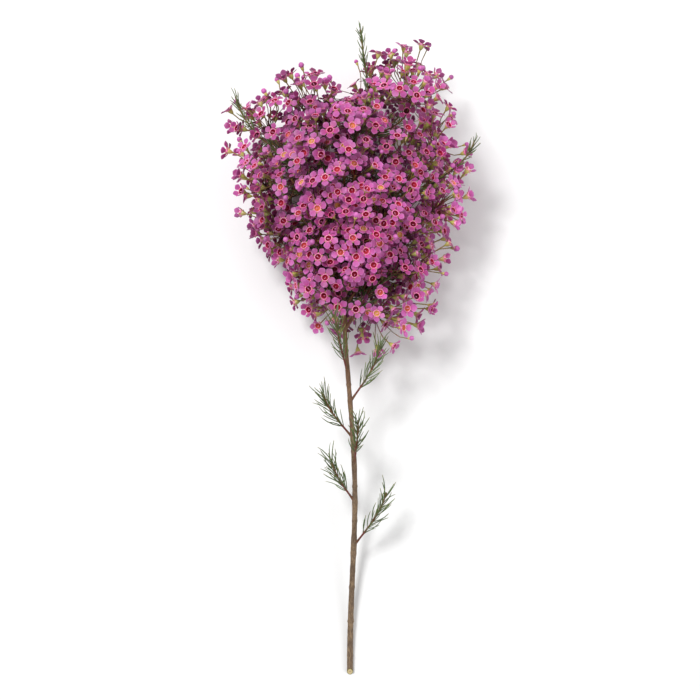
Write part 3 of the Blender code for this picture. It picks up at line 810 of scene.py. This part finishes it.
def bloom_petals(bloom, reach, rng):
    """The world-space rings of the five petals."""
    side, other = square_to(bloom.normal, bloom.side)
    pick = rng.random()
    for share, pitches, curls in BLOOM_MOODS:
        if pick < share:
            break
        pick -= share
    pitch, curl = rng.uniform(*pitches), rng.uniform(*curls)
    petals = []
    for k in range(5):
        out = turned_out(side, other, (k + 0.5) * math.tau / 5 + rng.gauss(0, 0.04))
        rings = petal_rings(
            (reach - PETAL_FOOT[0]) * rng.uniform(*PETAL_LENGTHS), rng.uniform(*PETAL_ASPECT),
            pitch + rng.gauss(0, 0.09), curl + rng.gauss(0, 0.12),
            rng.uniform(*PETAL_DISH), rng.gauss(0, 0.10), rng.uniform(*PETAL_WAVE),
        )
        petals.append(placed(rings, bloom.centre, out, bloom.normal.cross(out), bloom.normal))
    return petals


def add_bloom(blooms, stalks, bloom, axis, reach, age, tone, rng, plain=False):
    """A bloom of five petals round a ringed nectar cup, on its calyx. A plain one has no finer parts."""
    petals = bloom_petals(bloom, reach, rng)
    lowest = min(rings[:, :, 2].min() for rings in petals)
    rise = UP * max(0.0, SURFACE_GAP - lowest)
    centre, normal = bloom.centre + rise, bloom.normal
    axes = (*square_to(normal, bloom.side), normal)
    for rings in petals:
        shade = tone + rng.gauss(0, PETAL_TONE)
        blooms.sweep(rings + np.array(rise), PETAL, reach=PETAL_STATIONS[:, None],
                     across=np.cos(PETAL_LOOP), tone=shade, age=age)
    ages = np.where(CUP_REACH > 1, clamped(age + rng.gauss(0, AGE_SCATTER)), age)
    cup = placed(turned(CUP, 16, CUP_RIPPLE), centre, *axes)
    blooms.sweep(cup, CUP_SLOTS, reach=CUP_REACH, tone=tone, age=ages)
    calyx = placed(turned(CALYX, 8, CALYX_RIB), centre, *axes)
    stalks.sweep(calyx, reach=column(0.45, 1, len(CALYX)), tone=tone)
    add_pedicel(stalks, bloom.root, centre - normal * CALYX_FOOT, axis, normal, 1.0, tone)
    if not plain:
        add_style(blooms, centre, axes, tone, age, rng)
        add_stamens(blooms, centre, axes, tone, age, rng)
        add_sepals(stalks, centre, axes, tone)


def add_style(blooms, centre, axes, tone, age, rng):
    turn, lean = rng.uniform(0, math.tau), rng.uniform(*STYLE_LEAN)
    ts = np.linspace(0, 1, len(STYLE_RADII))
    out = (ts - 0.40) * STYLE_LENGTH * math.sin(lean)
    up = ts * STYLE_LENGTH * math.cos(lean) - STYLE_FOOT
    line = np.stack([out * math.cos(turn), out * math.sin(turn), up], axis=1)
    rings = tube(placed(line, centre, *axes), STYLE_RADII, 4)
    blooms.sweep(rings, RING, reach=1.0, tone=tone, age=age * 0.4)


def add_stamens(blooms, centre, axes, tone, age, rng):
    """Short stamens that bend in over the cup from the ring."""
    reach, height = np.array(STAMEN_LINE).T
    for k in range(STAMENS):
        turn = (k + 0.5) * math.tau / STAMENS + rng.gauss(0, 0.05)
        line = np.stack([reach * math.cos(turn), reach * math.sin(turn), height], axis=1)
        rings = tube(placed(line, centre, *axes), STAMEN_RADII, 3)
        blooms.sweep(rings, RING, reach=1.0, tone=tone, age=age)


def add_sepals(stalks, centre, axes, tone):
    side, other, normal = axes
    reach, half, height = np.array(SEPAL).T[:, :, None]
    across, thick = np.cos(SEPAL_LOOP), SEPAL_THICKNESS * np.sin(SEPAL_LOOP)
    flat = np.stack([reach + 0 * SEPAL_LOOP, half * across, height + thick], axis=2)
    for k in range(5):
        out = turned_out(side, other, k * math.tau / 5)
        stalks.sweep(placed(flat, centre, out, normal.cross(out), normal), reach=1.0, tone=tone)


def add_pedicel(stalks, root, base, axis, normal, size, tone):
    away = (axis + (base - root).normalized()).normalized()
    line = curve(root, away, base, normal, len(PEDICEL_RADII))
    reach = column(0, 0.4, len(PEDICEL_RADII))
    # Painted shade: each pedicel is drawn darker towards its root, deep in the cluster
    stalks.sweep(tube(line, PEDICEL_RADII * size, 4), reach=reach, tone=tone - 0.6 + reach * 1.5)


def add_bud(blooms, stalks, bud, axis, size, tone):
    """A round closed bloom with a swirl of folded petals."""
    axes = (*square_to(bud.normal, bud.side), bud.normal)
    rows = len(BUD_PROFILE)
    radius, height = np.array(BUD_PROFILE).T[:, :, None] * size
    turns = loop_turns(BUD_SIDES) + BUD_SWIRL * np.arange(rows)[:, None]
    radius = radius * (1 - 0.08 * (np.arange(BUD_SIDES) % 3 == 0))
    ball = np.stack([radius * np.cos(turns), radius * np.sin(turns), height + 0 * radius], axis=2)
    blooms.sweep(placed(ball, bud.centre, *axes), PETAL, reach=column(0.2, 1, rows), tone=tone, age=0.1)
    cone = placed(turned(BUD_CALYX, 8, CALYX_RIB) * size, bud.centre, *axes)
    stalks.sweep(cone, reach=column(0.5, 1, len(BUD_CALYX)), tone=tone)
    add_pedicel(stalks, bud.root, bud.centre - bud.normal * BUD_FOOT * size, axis, bud.normal, 0.9, tone)


# More blooms and buds for the clusters

class Discs:
    """The blooms placed so far as flat discs, to keep later ones and their stalks out of them."""

    def __init__(self, blooms):
        self.centres = np.array([tuple(b.centre) for b in blooms])
        self.normals = np.array([tuple(b.normal) for b in blooms])

    def add(self, bloom):
        self.centres = np.vstack([self.centres, tuple(bloom.centre)])
        self.normals = np.vstack([self.normals, tuple(bloom.normal)])

    def offsets(self, points):
        """For each point and disc, the distance over the disc and the distance from its axis."""
        away = np.array([tuple(point) for point in points])[:, None] - self.centres[None]
        height = (away * self.normals[None]).sum(axis=2)
        return height, np.linalg.norm(away - height[:, :, None] * self.normals[None], axis=2)

    def nearest(self, centre):
        """The least distance to another bloom, where height over its disc counts DEPTH_WEIGHT times."""
        height, flat = self.offsets([centre])
        return np.hypot(flat, DEPTH_WEIGHT * height).min()

    def crossed(self, points, radius, thickness):
        """Whether any of the points lies in a disc."""
        height, flat = self.offsets(points)
        return bool(((flat < radius) & (np.abs(height) < thickness)).any())


def added_blooms(branches, bloom_units, rng):
    """Added blooms and buds as (layer's name, bloom) for each cluster, spread between the solids' own."""
    clusters = [cluster for branch in branches for cluster in branch.clusters]
    discs = Discs([bloom for cluster in clusters for bloom in cluster.blooms])
    added = {cluster.name: [] for cluster in clusters}
    for layer in LAYERS:
        fixed = bloom_units if layer.name == "outer" else ()
        for unit in spread_units(layer.count, ADDED_REACH, rng, fixed):
            point, normal = on_crown(unit)
            cluster = min(clusters, key=lambda c: (c.top + c.axis * HUB_DEPTH - point).length)
            normal.z = max(normal.z, LEAST_NORMAL_Z)
            bloom = added_bloom(point + normal * cluster.shift, normal, layer, cluster, discs, rng)
            if bloom:
                added[cluster.name].append((layer.name, bloom))
                discs.add(bloom)
    return added, discs


def added_bloom(point, normal, layer, cluster, discs, rng):
    """A bloom near the point that keeps its distance from the others, or nothing where there is no room."""
    for _ in range(ADDED_TRIES):
        nudge = scattered(rng, NUDGE)
        centre = point + normal * rng.uniform(*layer.rise) + nudge
        scatter = scattered(rng, NORMAL_SCATTER)
        stalk = centre - cluster.top
        if stalk.length > MOST_PEDICEL or centre.z < LEAST_ADDED_Z or discs.nearest(centre) < layer.gap:
            continue
        facing = (normal + ALONG * FORWARD_LEAN + scatter).normalized()
        facing = (facing + stalk.normalized() * FAN_OUT).normalized()
        root = mixed(cluster.foot, cluster.top, rng.uniform(*ADDED_ROOTS))
        base = centre - facing * CALYX_FOOT
        line = curve(root, (cluster.axis + (base - root).normalized()).normalized(), base, facing, 8)
        if not discs.crossed(line, *STALK_DISC):
            return Bloom(root, centre, facing, random_side(facing, rng))
    return None


# Needles, branches and shoots

# Tubes as (steps along, sides, reach painted at both ends, thickening at the start)
BRANCH_TUBE = (26, 9, (0.1, 0.55))
TWIG_TUBE = (18, 7, (0.45, 1.0), 0.3)
TIP_TUBE = (24, 7, (0.5, 1.0))
SHOOT_TUBE = (20, 8, (0.3, 1.0))
FORK_TUBE = (16, 12, (0.55, 0.85), 0.5)
STUB_TUBE = (6, 10, (0.6, 0.8), 0.6)
COLLAR_REACH = 0.004
NEEDLE = 1
NEEDLE_STATIONS = np.array([0.0, 0.12, 0.4, 0.7, 0.92, 1.0])
NEEDLE_TAPER = np.array([0.55, 0.85, 1.0, 0.9, 0.6, 0.15])
NEEDLE_BOW = 0.10
NEEDLE_RADIUS = (0.00042, 0.00060)
TWIG_TONE, NEEDLE_TONE = 0.12, 0.16
INNER_SHADE = -0.4
Leaves = namedtuple("Leaves", "pairs lengths splay shade")
BRANCH_LEAVES = Leaves(12, (0.014, 0.024), 0.7, -0.7)
TWIG_LEAVES = Leaves(7, (0.012, 0.022), 0.7, INNER_SHADE)
TIP_LEAVES = Leaves(26, (0.008, 0.014), 0.35, 0.0)
SHOOT_LEAVES = Leaves(13, (0.012, 0.022), 0.5, 0.0)


def add_needles(batch, pairs, rng, shade=0.0):
    """A slim leaf from each root to its tip, bowed to one side."""
    shade += rng.gauss(0, TWIG_TONE)
    for root, tip in pairs:
        bow, radius = rng.uniform(-1, 1), rng.uniform(*NEEDLE_RADIUS)
        heading, length = (tip - root).normalized(), (tip - root).length
        arch = 4 * NEEDLE_STATIONS * (1 - NEEDLE_STATIONS) * length * NEEDLE_BOW * bow
        side = side_of(heading)
        line = [root + heading * (t * length) + side * a for t, a in zip(NEEDLE_STATIONS, arch)]
        batch.sweep(tube(line, NEEDLE_TAPER * radius, 5), NEEDLE, reach=NEEDLE_STATIONS[:, None],
                    tone=shade + rng.gauss(0, NEEDLE_TONE))


def leaf_out(batch, limb, t0, leaves, discs, rng):
    """Crossed pairs of needles along a limb, left out where they would stab a bloom or the surface."""
    reference = side_of(heading_on(limb, 0.5))
    found = []
    for k in range(leaves.pairs):
        t = mixed(t0, 1.0, (k + rng.uniform(0.2, 0.8)) / leaves.pairs)
        centre, heading = point_on(limb, t), heading_on(limb, t)
        side, other = square_to(heading, reference)
        turn = k * math.pi / 2 + rng.gauss(0, 0.3)
        for half in (0, math.pi):
            out = turned_out(side, other, turn + half)
            direction = (heading + out * leaves.splay * rng.uniform(0.7, 1.35)).normalized()
            root = centre + out * radius_on(limb, t) * 0.6
            tip = root + direction * rng.uniform(*leaves.lengths)
            points = [mixed(root, tip, i / 6) for i in range(1, 7)]
            if tip.z > LEAST_NEEDLE_Z and not discs.crossed(points, *NEEDLE_DISC):
                found.append((root, tip))
    add_needles(batch, found, rng, leaves.shade)


def limb_rings(batch, limb, t0, t1, steps, sides, reach, collar=0.0):
    """A limb as a tube that is a little thicker where it leaves what bears it."""
    ts = [mixed(t0, t1, i / steps) for i in range(steps + 1)]
    long = (limb.p3 - limb.p0).length
    radii = []
    for t in ts:
        radius = radius_on(limb, t) * (1 + collar * math.exp(-t * long / COLLAR_REACH))
        radii.append(radius * (1 + 0.05 * noise.noise(Vector((t * long * 300, radius * 9000, 4.0)))))
    batch.sweep(tube([point_on(limb, t) for t in ts], radii, sides), reach=column(*reach, steps + 1))


def leafy_branch(name, branch, solid, discs, rng, materials):
    """The green end of a branch with its twigs, tip shoots and needles."""
    batch = Batch()
    limb_rings(batch, branch.limb, branch.start, 1.0, *BRANCH_TUBE)
    leaf_out(batch, branch.limb, branch.start, BRANCH_LEAVES, discs, rng)
    for twig in branch.twigs:
        limb_rings(batch, twig, 0.0, 1.0, *TWIG_TUBE)
        leaf_out(batch, twig, 0.15, TWIG_LEAVES, discs, rng)
    for shoot in branch.shoots:
        limb_rings(batch, shoot, 0.0, 1.0, *TIP_TUBE)
        leaf_out(batch, shoot, 0.25, TIP_LEAVES, discs, rng)
    add_needles(batch, solid, rng, INNER_SHADE)
    return batch.to_object(name, materials)


def leafy_shoot(name, shoot, solid, discs, rng, materials):
    batch = Batch()
    start = stub_share(shoot)
    limb_rings(batch, shoot, start, 1.0, *SHOOT_TUBE)
    leaf_out(batch, shoot, start + 0.08, SHOOT_LEAVES, discs, rng)
    add_needles(batch, solid, rng)
    return batch.to_object(name, materials)


PEDUNCLE_RADII = (0.00095, 0.0011, 0.00115, 0.00105, 0.0009)
CLUSTER_TONE, BLOOM_TONE = 0.12, 0.10
# Inner blooms are older, and darker by painted shade since they lie deep in the crown
INNER_AGE, INNER_PAINTED_SHADE = 0.25, -0.42
BUD_SIZES = (0.75, 1.08)
CLUSTER_AGES = (0.15, 0.65)


def bloom_cluster(cluster, added, rng, bloom_materials, stalk_materials):
    """A cluster's blooms and buds as one piece, and its stalks and calyxes as another."""
    blooms, stalks = Batch(), Batch()
    line = [mixed(cluster.foot, cluster.top + cluster.axis * 0.001, i / 4) for i in range(5)]
    stalks.sweep(tube(line, PEDUNCLE_RADII, 8), reach=column(0.1, 0.3, 5))
    cluster_tone, cluster_age = rng.gauss(0, CLUSTER_TONE), rng.uniform(*CLUSTER_AGES)
    for layer, bloom in [("solid", bloom) for bloom in cluster.blooms] + added:
        inner = layer == "inner"
        age = clamped(cluster_age + rng.gauss(0, AGE_SCATTER) + INNER_AGE * inner)
        # Blooms of the inner layer are darkened by painted shade
        tone = cluster_tone + rng.gauss(0, BLOOM_TONE) + INNER_PAINTED_SHADE * inner
        if layer == "bud":
            add_bud(blooms, stalks, bloom, cluster.axis, rng.uniform(*BUD_SIZES), tone + 0.1)
        else:
            add_bloom(blooms, stalks, bloom, cluster.axis, rng.uniform(*FINE_REACH), age, tone, rng, inner)
    number = cluster.name[-2:]
    return (blooms.to_object(f"blooms_{number}", bloom_materials),
            stalks.to_object(f"stalks_{number}", stalk_materials))


# The stem

STEM_SIDES = 24
STEM_STEP = 0.0023
FISSURE = 0.00022
SCAR_STEP = 0.017
SCAR_RISE = 0.0005
SCAR_HALF = 0.0012
FORK_SWELL = 0.175
FORK_REACH = 0.010
# The cut face's rings as (share of the radius, depth)
CUT_FACE = np.array([
    (1.0, 0.0), (0.93, 0.0002), (0.75, 0.0002), (0.5, 0.00022),
    (0.2, 0.0002), (0.16, 0.0001), (0.05, 0.00005),
])


def stem_radius(y, turn, forks):
    """The stem's radius with shallow fissures, leaf scars in crossed pairs, and a swelling at each fork."""
    radius = axis_radius(y)
    where = Vector((math.cos(turn) * 3.2, y * 160, math.sin(turn) * 3.2))
    radius += FISSURE * (noise.noise(where) + 0.5 * noise.noise(where * 2.7)) * radius / BUTT_RADIUS
    scar = round((y - BUTT_Y) / SCAR_STEP)
    offset = (y - BUTT_Y - scar * SCAR_STEP) / SCAR_HALF
    facing = abs(math.cos(turn - scar * math.pi / 2)) ** 8
    radius += SCAR_RISE * math.exp(-offset * offset) * (0.25 + 0.75 * facing)
    return radius * (1 + FORK_SWELL * max(math.exp(-((y - fork) / FORK_REACH) ** 2) for fork in forks))


def woody_stem(branches, shoots, materials):
    """The main stem with its slanted cut, and the woody start of every branch and shoot."""
    forks = [branch.limb.p0.y for branch in branches[:-1]] + [shoot.p0.y for shoot in shoots]
    batch = Batch()
    count = int((LEADER_Y - BUTT_Y) / STEM_STEP)
    turns = loop_turns(STEM_SIDES)
    rings = []
    for i in range(count + 1):
        y = mixed(BUTT_Y, LEADER_Y, i / count)
        radii = np.array([stem_radius(y, turn, forks) for turn in turns])
        circle = np.stack([np.cos(turns) * radii, np.sin(turns) * radii], axis=1)
        rings.append(np.array(axis_point(y)) + circle @ np.array(square_to(axis_heading(y), UP)))
    rings = np.array(rings)
    fade = np.exp(-np.arange(count + 1) / 2.5)[:, None]
    rings[:, :, 1] += (rings[0, :, 2] - BUTT_RADIUS)[None] * CUT_SLANT * fade
    rings[:, :, 2] = np.maximum(rings[:, :, 2], 0.0)
    batch.sweep(rings, 0, reach=column(0, 1, count + 1))
    middle = rings[0].mean(axis=0)
    shares, depths = CUT_FACE.T[:, :, None]
    face = middle + (rings[0] - middle)[None] * shares[:, :, None]
    face[:, :, 1] -= depths
    batch.sweep(face[::-1], 1, reach=shares[::-1])
    for branch in branches[:-1]:
        limb_rings(batch, branch.limb, 0.0, WOODY_SHARE, *FORK_TUBE)
    for shoot in shoots:
        limb_rings(batch, shoot, 0.0, stub_share(shoot), *STUB_TUBE)
    return batch.to_object("woody_stem_bark", materials)


# Materials

def srgb(red, green, blue):
    """A colour given as a screen shows it, 0 to 255, in linear light."""
    def linear(value):
        value /= 255
        return value / 12.92 if value <= 0.04045 else ((value + 0.055) / 1.055) ** 2.4
    return (linear(red), linear(green), linear(blue), 1.0)


class Look:
    """A material being made: its shader, and short ways to add nodes."""

    def __init__(self, name, **sockets):
        self.material = bpy.data.materials.new(name)
        self.material.use_nodes = True
        self.tree = self.material.node_tree
        self.shader = self.tree.nodes["Principled BSDF"]
        for socket, value in sockets.items():
            self.shader.inputs[socket.replace("_", " ")].default_value = value

    def node(self, kind, inputs=(), **settings):
        made = self.tree.nodes.new("ShaderNode" + kind)
        for setting, value in settings.items():
            setattr(made, setting, value)
        for key, value in dict(inputs).items():
            self.put(value, made.inputs[key])
        return made

    def put(self, value, socket):
        if isinstance(value, bpy.types.NodeSocket):
            self.tree.links.new(value, socket)
        else:
            socket.default_value = value

    def paints(self):
        return [self.node("Attribute", attribute_name=name).outputs["Fac"] for name in PAINTS]

    def place(self):
        return self.node("TexCoord").outputs["Object"]

    def math(self, operation, a, b=0.0):
        return self.node("Math", {0: a, 1: b}, operation=operation).outputs[0]

    def times(self, a, b):
        return self.math("MULTIPLY", a, b)

    def range(self, value, low, high, to_low=0.0, to_high=1.0):
        inputs = {"Value": value, "From Min": low, "From Max": high, "To Min": to_low, "To Max": to_high}
        return self.node("MapRange", inputs).outputs["Result"]

    def uneven(self, grain, low, high):
        """A value between low and high that follows the grain."""
        return self.range(grain, 0.3, 0.7, low, high)

    def noise(self, scale, detail=2.0, vector=None, roughness=0.55):
        inputs = {"Vector": vector or self.place(), "Scale": scale, "Detail": detail, "Roughness": roughness}
        return self.node("TexNoise", inputs).outputs["Fac"]

    def cells(self, scale, vector=None):
        inputs = {"Vector": vector or self.place(), "Scale": scale}
        return self.node("TexVoronoi", inputs).outputs["Distance"]

    def mix(self, share, a, b):
        made = self.node("Mix", data_type="RGBA")
        for value, index in ((share, 0), (a, 6), (b, 7)):
            self.put(value, made.inputs[index])
        return made.outputs[2]

    def ramp(self, value, *stops):
        """Colours at positions, each given as (position, red, green, blue)."""
        made = self.node("ValToRGB", {"Fac": value})
        elements = made.color_ramp.elements
        while len(elements) < len(stops):
            elements.new(0.5)
        for element, (position, *colour) in zip(elements, stops):
            element.position = position
            element.color = srgb(*colour)
        return made.outputs["Color"]

    def bump(self, height, strength, distance):
        inputs = {"Height": height, "Strength": strength, "Distance": distance}
        self.put(self.node("Bump", inputs).outputs["Normal"], self.shader.inputs["Normal"])

    def done(self, colour, value=None, roughness=None):
        """The material in a colour, lighter or darker by value, which is 1 where it stays."""
        if value:
            colour = self.node("HueSaturation", {"Value": value, "Color": colour}).outputs["Color"]
        self.put(colour, self.shader.inputs["Base Color"])
        if roughness:
            self.put(roughness, self.shader.inputs["Roughness"])
        return self.material


FRESH_PETAL = srgb(198, 98, 172)
OLD_PETAL = srgb(152, 36, 106)
PETAL_EDGE = srgb(218, 140, 204)
PETAL_BASE = srgb(190, 44, 116)


def petal_look():
    look = Look("waxflower_petal", Subsurface_Weight=0.12, Subsurface_Scale=0.0012,
                Subsurface_Radius=(1.0, 0.35, 0.6), Sheen_Weight=0.12, Sheen_Roughness=0.4)
    reach, across, tone, age = look.paints()
    colour = look.mix(look.range(age, 0.15, 0.95), FRESH_PETAL, OLD_PETAL)
    rim = look.math("MAXIMUM", look.math("ABSOLUTE", across), reach)
    colour = look.mix(look.range(rim, 0.72, 1.0, 0.0, 0.45), colour, PETAL_EDGE)
    colour = look.mix(look.range(reach, 0.05, 0.42, 0.75, 0.0), colour, PETAL_BASE)
    veins = {"X": look.times(across, 7.0), "Y": look.times(reach, 1.1), "Z": look.times(tone, 60.0)}
    streaks = look.noise(1.0, 3.0, look.node("CombineXYZ", veins).outputs[0])
    # Lighter or darker by the tone paint, which also holds painted shade for blooms deep in the crown
    value = look.times(look.range(tone, -0.8, 0.5, 0.36, 1.28), look.range(streaks, 0.3, 0.75, 0.86, 1.08))
    value = look.times(value, look.uneven(look.noise(420.0), 0.92, 1.06))
    look.bump(look.math("ADD", streaks, look.times(look.noise(2600.0), 0.5)), 0.25, 0.0004)
    return look.done(colour, value, look.uneven(streaks, 0.42, 0.60))


def ring_look():
    look = Look("waxflower_ring", Roughness=0.45, Specular_IOR_Level=0.3, Subsurface_Weight=0.1,
                Subsurface_Scale=0.001)
    reach, _, tone, age = look.paints()
    pale = look.mix(age, srgb(255, 178, 214), srgb(242, 116, 176))
    colour = look.mix(look.range(reach, 0.0, 0.3, 1.0, 0.0), pale, PETAL_BASE)
    # Lighter or darker by the tone paint, which also holds painted shade for blooms deep in the crown
    return look.done(colour, look.range(tone, -0.8, 0.5, 0.5, 1.12))


def nectary_look():
    look = Look("waxflower_cup", Roughness=0.5, Specular_IOR_Level=0.12)
    reach, _, _, age = look.paints()
    ripe = look.ramp(age, (0.0, 212, 164, 96), (0.10, 210, 118, 84), (0.20, 180, 42, 62),
                     (0.5, 136, 12, 40), (1.0, 66, 5, 24))
    colour = look.mix(look.range(reach, 1.0, 1.25, 0.6, 0.0), ripe, srgb(206, 56, 100))
    speckle = look.noise(1800.0)
    look.bump(speckle, 0.15, 0.0002)
    return look.done(colour, look.uneven(speckle, 0.85, 1.15))


def stalk_look():
    look = Look("waxflower_calyx", Roughness=0.4, Coat_Weight=0.15, Coat_Roughness=0.3,
                Subsurface_Weight=0.08, Subsurface_Scale=0.001)
    reach, _, tone, _ = look.paints()
    # Darker towards the roots of the stalks: partly the stalks' own red-brown, partly painted shade for the
    # depth of the cluster
    colour = look.ramp(reach, (0.0, 84, 30, 30), (0.2, 112, 70, 42), (0.42, 140, 130, 58),
                       (0.6, 168, 164, 76), (0.82, 198, 190, 104), (1.0, 208, 170, 120))
    colour = look.mix(look.range(look.noise(160.0), 0.5, 0.72, 0.0, 0.5), colour, srgb(170, 84, 70))
    look.bump(look.cells(2600.0), 0.3, 0.0002)
    # Lighter or darker by the tone paint, which also holds painted shade at the pedicels' roots and for
    # inner blooms
    return look.done(colour, look.range(tone, -0.9, 0.5, 0.32, 1.2))


def needle_look():
    look = Look("waxflower_needle", Roughness=0.42, Coat_Weight=0.1, Coat_Roughness=0.35)
    reach, _, tone, _ = look.paints()
    colour = look.ramp(reach, (0.0, 104, 92, 50), (0.2, 74, 92, 42), (0.8, 86, 108, 50), (1.0, 142, 130, 68))
    look.bump(look.cells(3000.0), 0.35, 0.0002)
    patches = look.uneven(look.noise(90.0), 0.85, 1.12)
    # Lighter or darker by the tone paint, which also holds painted shade for needles inside the crown
    return look.done(colour, look.times(look.range(tone, -1.0, 0.5, 0.30, 1.35), patches))


def twig_look():
    look = Look("waxflower_twig", Roughness=0.5)
    reach = look.paints()[0]
    colour = look.ramp(reach, (0.0, 84, 46, 32), (0.4, 108, 46, 38), (0.75, 112, 66, 42), (1.0, 106, 88, 46))
    grain = look.noise(700.0, 3.0)
    look.bump(grain, 0.4, 0.0004)
    return look.done(colour, look.uneven(grain, 0.78, 1.18))


def bark_look():
    look = Look("waxflower_bark")
    reach = look.paints()[0]
    stretched = look.node("Mapping", {"Vector": look.place(), "Scale": (1.0, 0.10, 1.0)}).outputs["Vector"]
    fibres = look.noise(1500.0, 4.0, stretched, 0.65)
    patches = look.range(look.noise(55.0, 3.0), 0.35, 0.65)
    old = look.mix(patches, srgb(112, 92, 72), srgb(146, 122, 94))
    young = look.mix(patches, srgb(118, 66, 44), srgb(138, 92, 56))
    colour = look.mix(look.range(reach, 0.35, 0.85), old, young)
    colour = look.mix(look.range(fibres, 0.42, 0.56, 0.7, 0.0), colour, srgb(62, 40, 28))
    look.bump(look.math("ADD", fibres, look.times(look.cells(520.0, stretched), 0.6)), 0.8, 0.0009)
    return look.done(colour, roughness=look.uneven(fibres, 0.62, 0.88))


def cut_wood_look():
    look = Look("waxflower_cut_wood", Roughness=0.7)
    reach = look.paints()[0]
    colour = look.ramp(reach, (0.0, 150, 112, 74), (0.16, 176, 140, 98), (0.22, 226, 204, 160),
                       (0.78, 214, 196, 140), (0.86, 150, 146, 74), (0.95, 96, 70, 50))
    grain = look.noise(1900.0)
    look.bump(grain, 0.4, 0.0003)
    return look.done(colour, look.uneven(grain, 0.88, 1.08))


# Floor, lights and camera

FLOOR_HALF = 4.0
FLOOR_GREYS = (0.86, 0.86, 0.86, 1), (0.90, 0.90, 0.90, 1)
# Lights as (place, target, size, power)
KEY = ((-0.8, 0.8, 2.0), (0, 0.1, 0), 0.7, 38)
FILL = ((1.5, -0.6, 1.4), (0, 0, 0), 1.4, 10)
WORLD_STRENGTH = 0.54
CAMERA_TARGET = Vector((0, -0.002, 0.04))
CAMERA_DISTANCE = 1.72
CAMERA_ELEVATION = math.radians(80)
CAMERA_LENS, CAMERA_SENSOR = 85, 36


def aimed(made, place, target):
    made.location = place
    made.rotation_euler = (Vector(target) - Vector(place)).to_track_quat("-Z", "Y").to_euler()
    return made


def make_floor():
    mesh = bpy.data.meshes.new("floor")
    corners = [(x * FLOOR_HALF, y * FLOOR_HALF, 0) for x, y in ((-1, -1), (1, -1), (1, 1), (-1, 1))]
    mesh.from_pydata(corners, [], [(0, 1, 2, 3)])
    look = Look("pale_floor", Roughness=0.75, Specular_IOR_Level=0.2)
    mesh.materials.append(look.done(look.mix(look.noise(6.0), *FLOOR_GREYS)))
    new_object("floor", mesh)


def area_light(name, place, target, size, power):
    light = bpy.data.lights.new(name, "AREA")
    light.shape = "DISK"
    light.size = size
    light.energy = power
    aimed(new_object(name, light), place, target)


def make_stage():
    make_floor()
    area_light("key", *KEY)
    area_light("fill", *FILL)
    world = bpy.data.worlds.new("studio")
    world.use_nodes = True
    world.node_tree.nodes["Background"].inputs["Color"].default_value = (1, 1, 1, 1)
    world.node_tree.nodes["Background"].inputs["Strength"].default_value = WORLD_STRENGTH
    bpy.context.scene.world = world
    camera = bpy.data.cameras.new("camera")
    camera.lens = CAMERA_LENS
    camera.sensor_width = CAMERA_SENSOR
    away = Vector((0, -math.cos(CAMERA_ELEVATION), math.sin(CAMERA_ELEVATION))) * CAMERA_DISTANCE
    bpy.context.scene.camera = aimed(new_object("camera", camera), CAMERA_TARGET + away, CAMERA_TARGET)


def dress(piece, slot, *nodes):
    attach(piece, "root")
    if nodes:
        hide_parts(*nodes)


def main():
    bpy.context.scene.view_settings.view_transform = "Standard"
    branches, shoots, space, bloom_units = grow()
    branch_needles, shoot_needles = shape_needles(branches, shoots, space)
    rng = random.Random(SEED + 2)
    added, discs = added_blooms(branches, bloom_units, rng)
    materials = [petal_look(), ring_look(), nectary_look()], [stalk_look()]
    for branch in branches:
        for cluster in branch.clusters:
            blooms, stalks = bloom_cluster(cluster, added[cluster.name], rng, *materials)
            dress(blooms, "petal", cluster.name)
            dress(stalks, "leaf")
    leaf_materials = [twig_look(), needle_look()]
    for i, (branch, solid) in enumerate(zip(branches, branch_needles)):
        piece = leafy_branch(f"branch_{i + 1:02d}", branch, solid, discs, rng, leaf_materials)
        dress(piece, "leaf", branch.name)
    for i, (shoot, solid) in enumerate(zip(shoots, shoot_needles)):
        piece = leafy_shoot(f"shoot_{i + 1}", shoot, solid, discs, rng, leaf_materials)
        dress(piece, "leaf", shoot_name(i))
    dress(woody_stem(branches, shoots, [bark_look(), cut_wood_look()]), "bark", "woody_stem")
    make_stage()


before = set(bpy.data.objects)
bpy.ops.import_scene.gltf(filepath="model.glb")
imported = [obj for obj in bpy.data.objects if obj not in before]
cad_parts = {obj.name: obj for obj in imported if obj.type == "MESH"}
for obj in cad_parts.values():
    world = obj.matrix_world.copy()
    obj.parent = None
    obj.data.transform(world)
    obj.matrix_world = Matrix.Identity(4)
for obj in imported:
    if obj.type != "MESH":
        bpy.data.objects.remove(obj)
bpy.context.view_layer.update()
main()
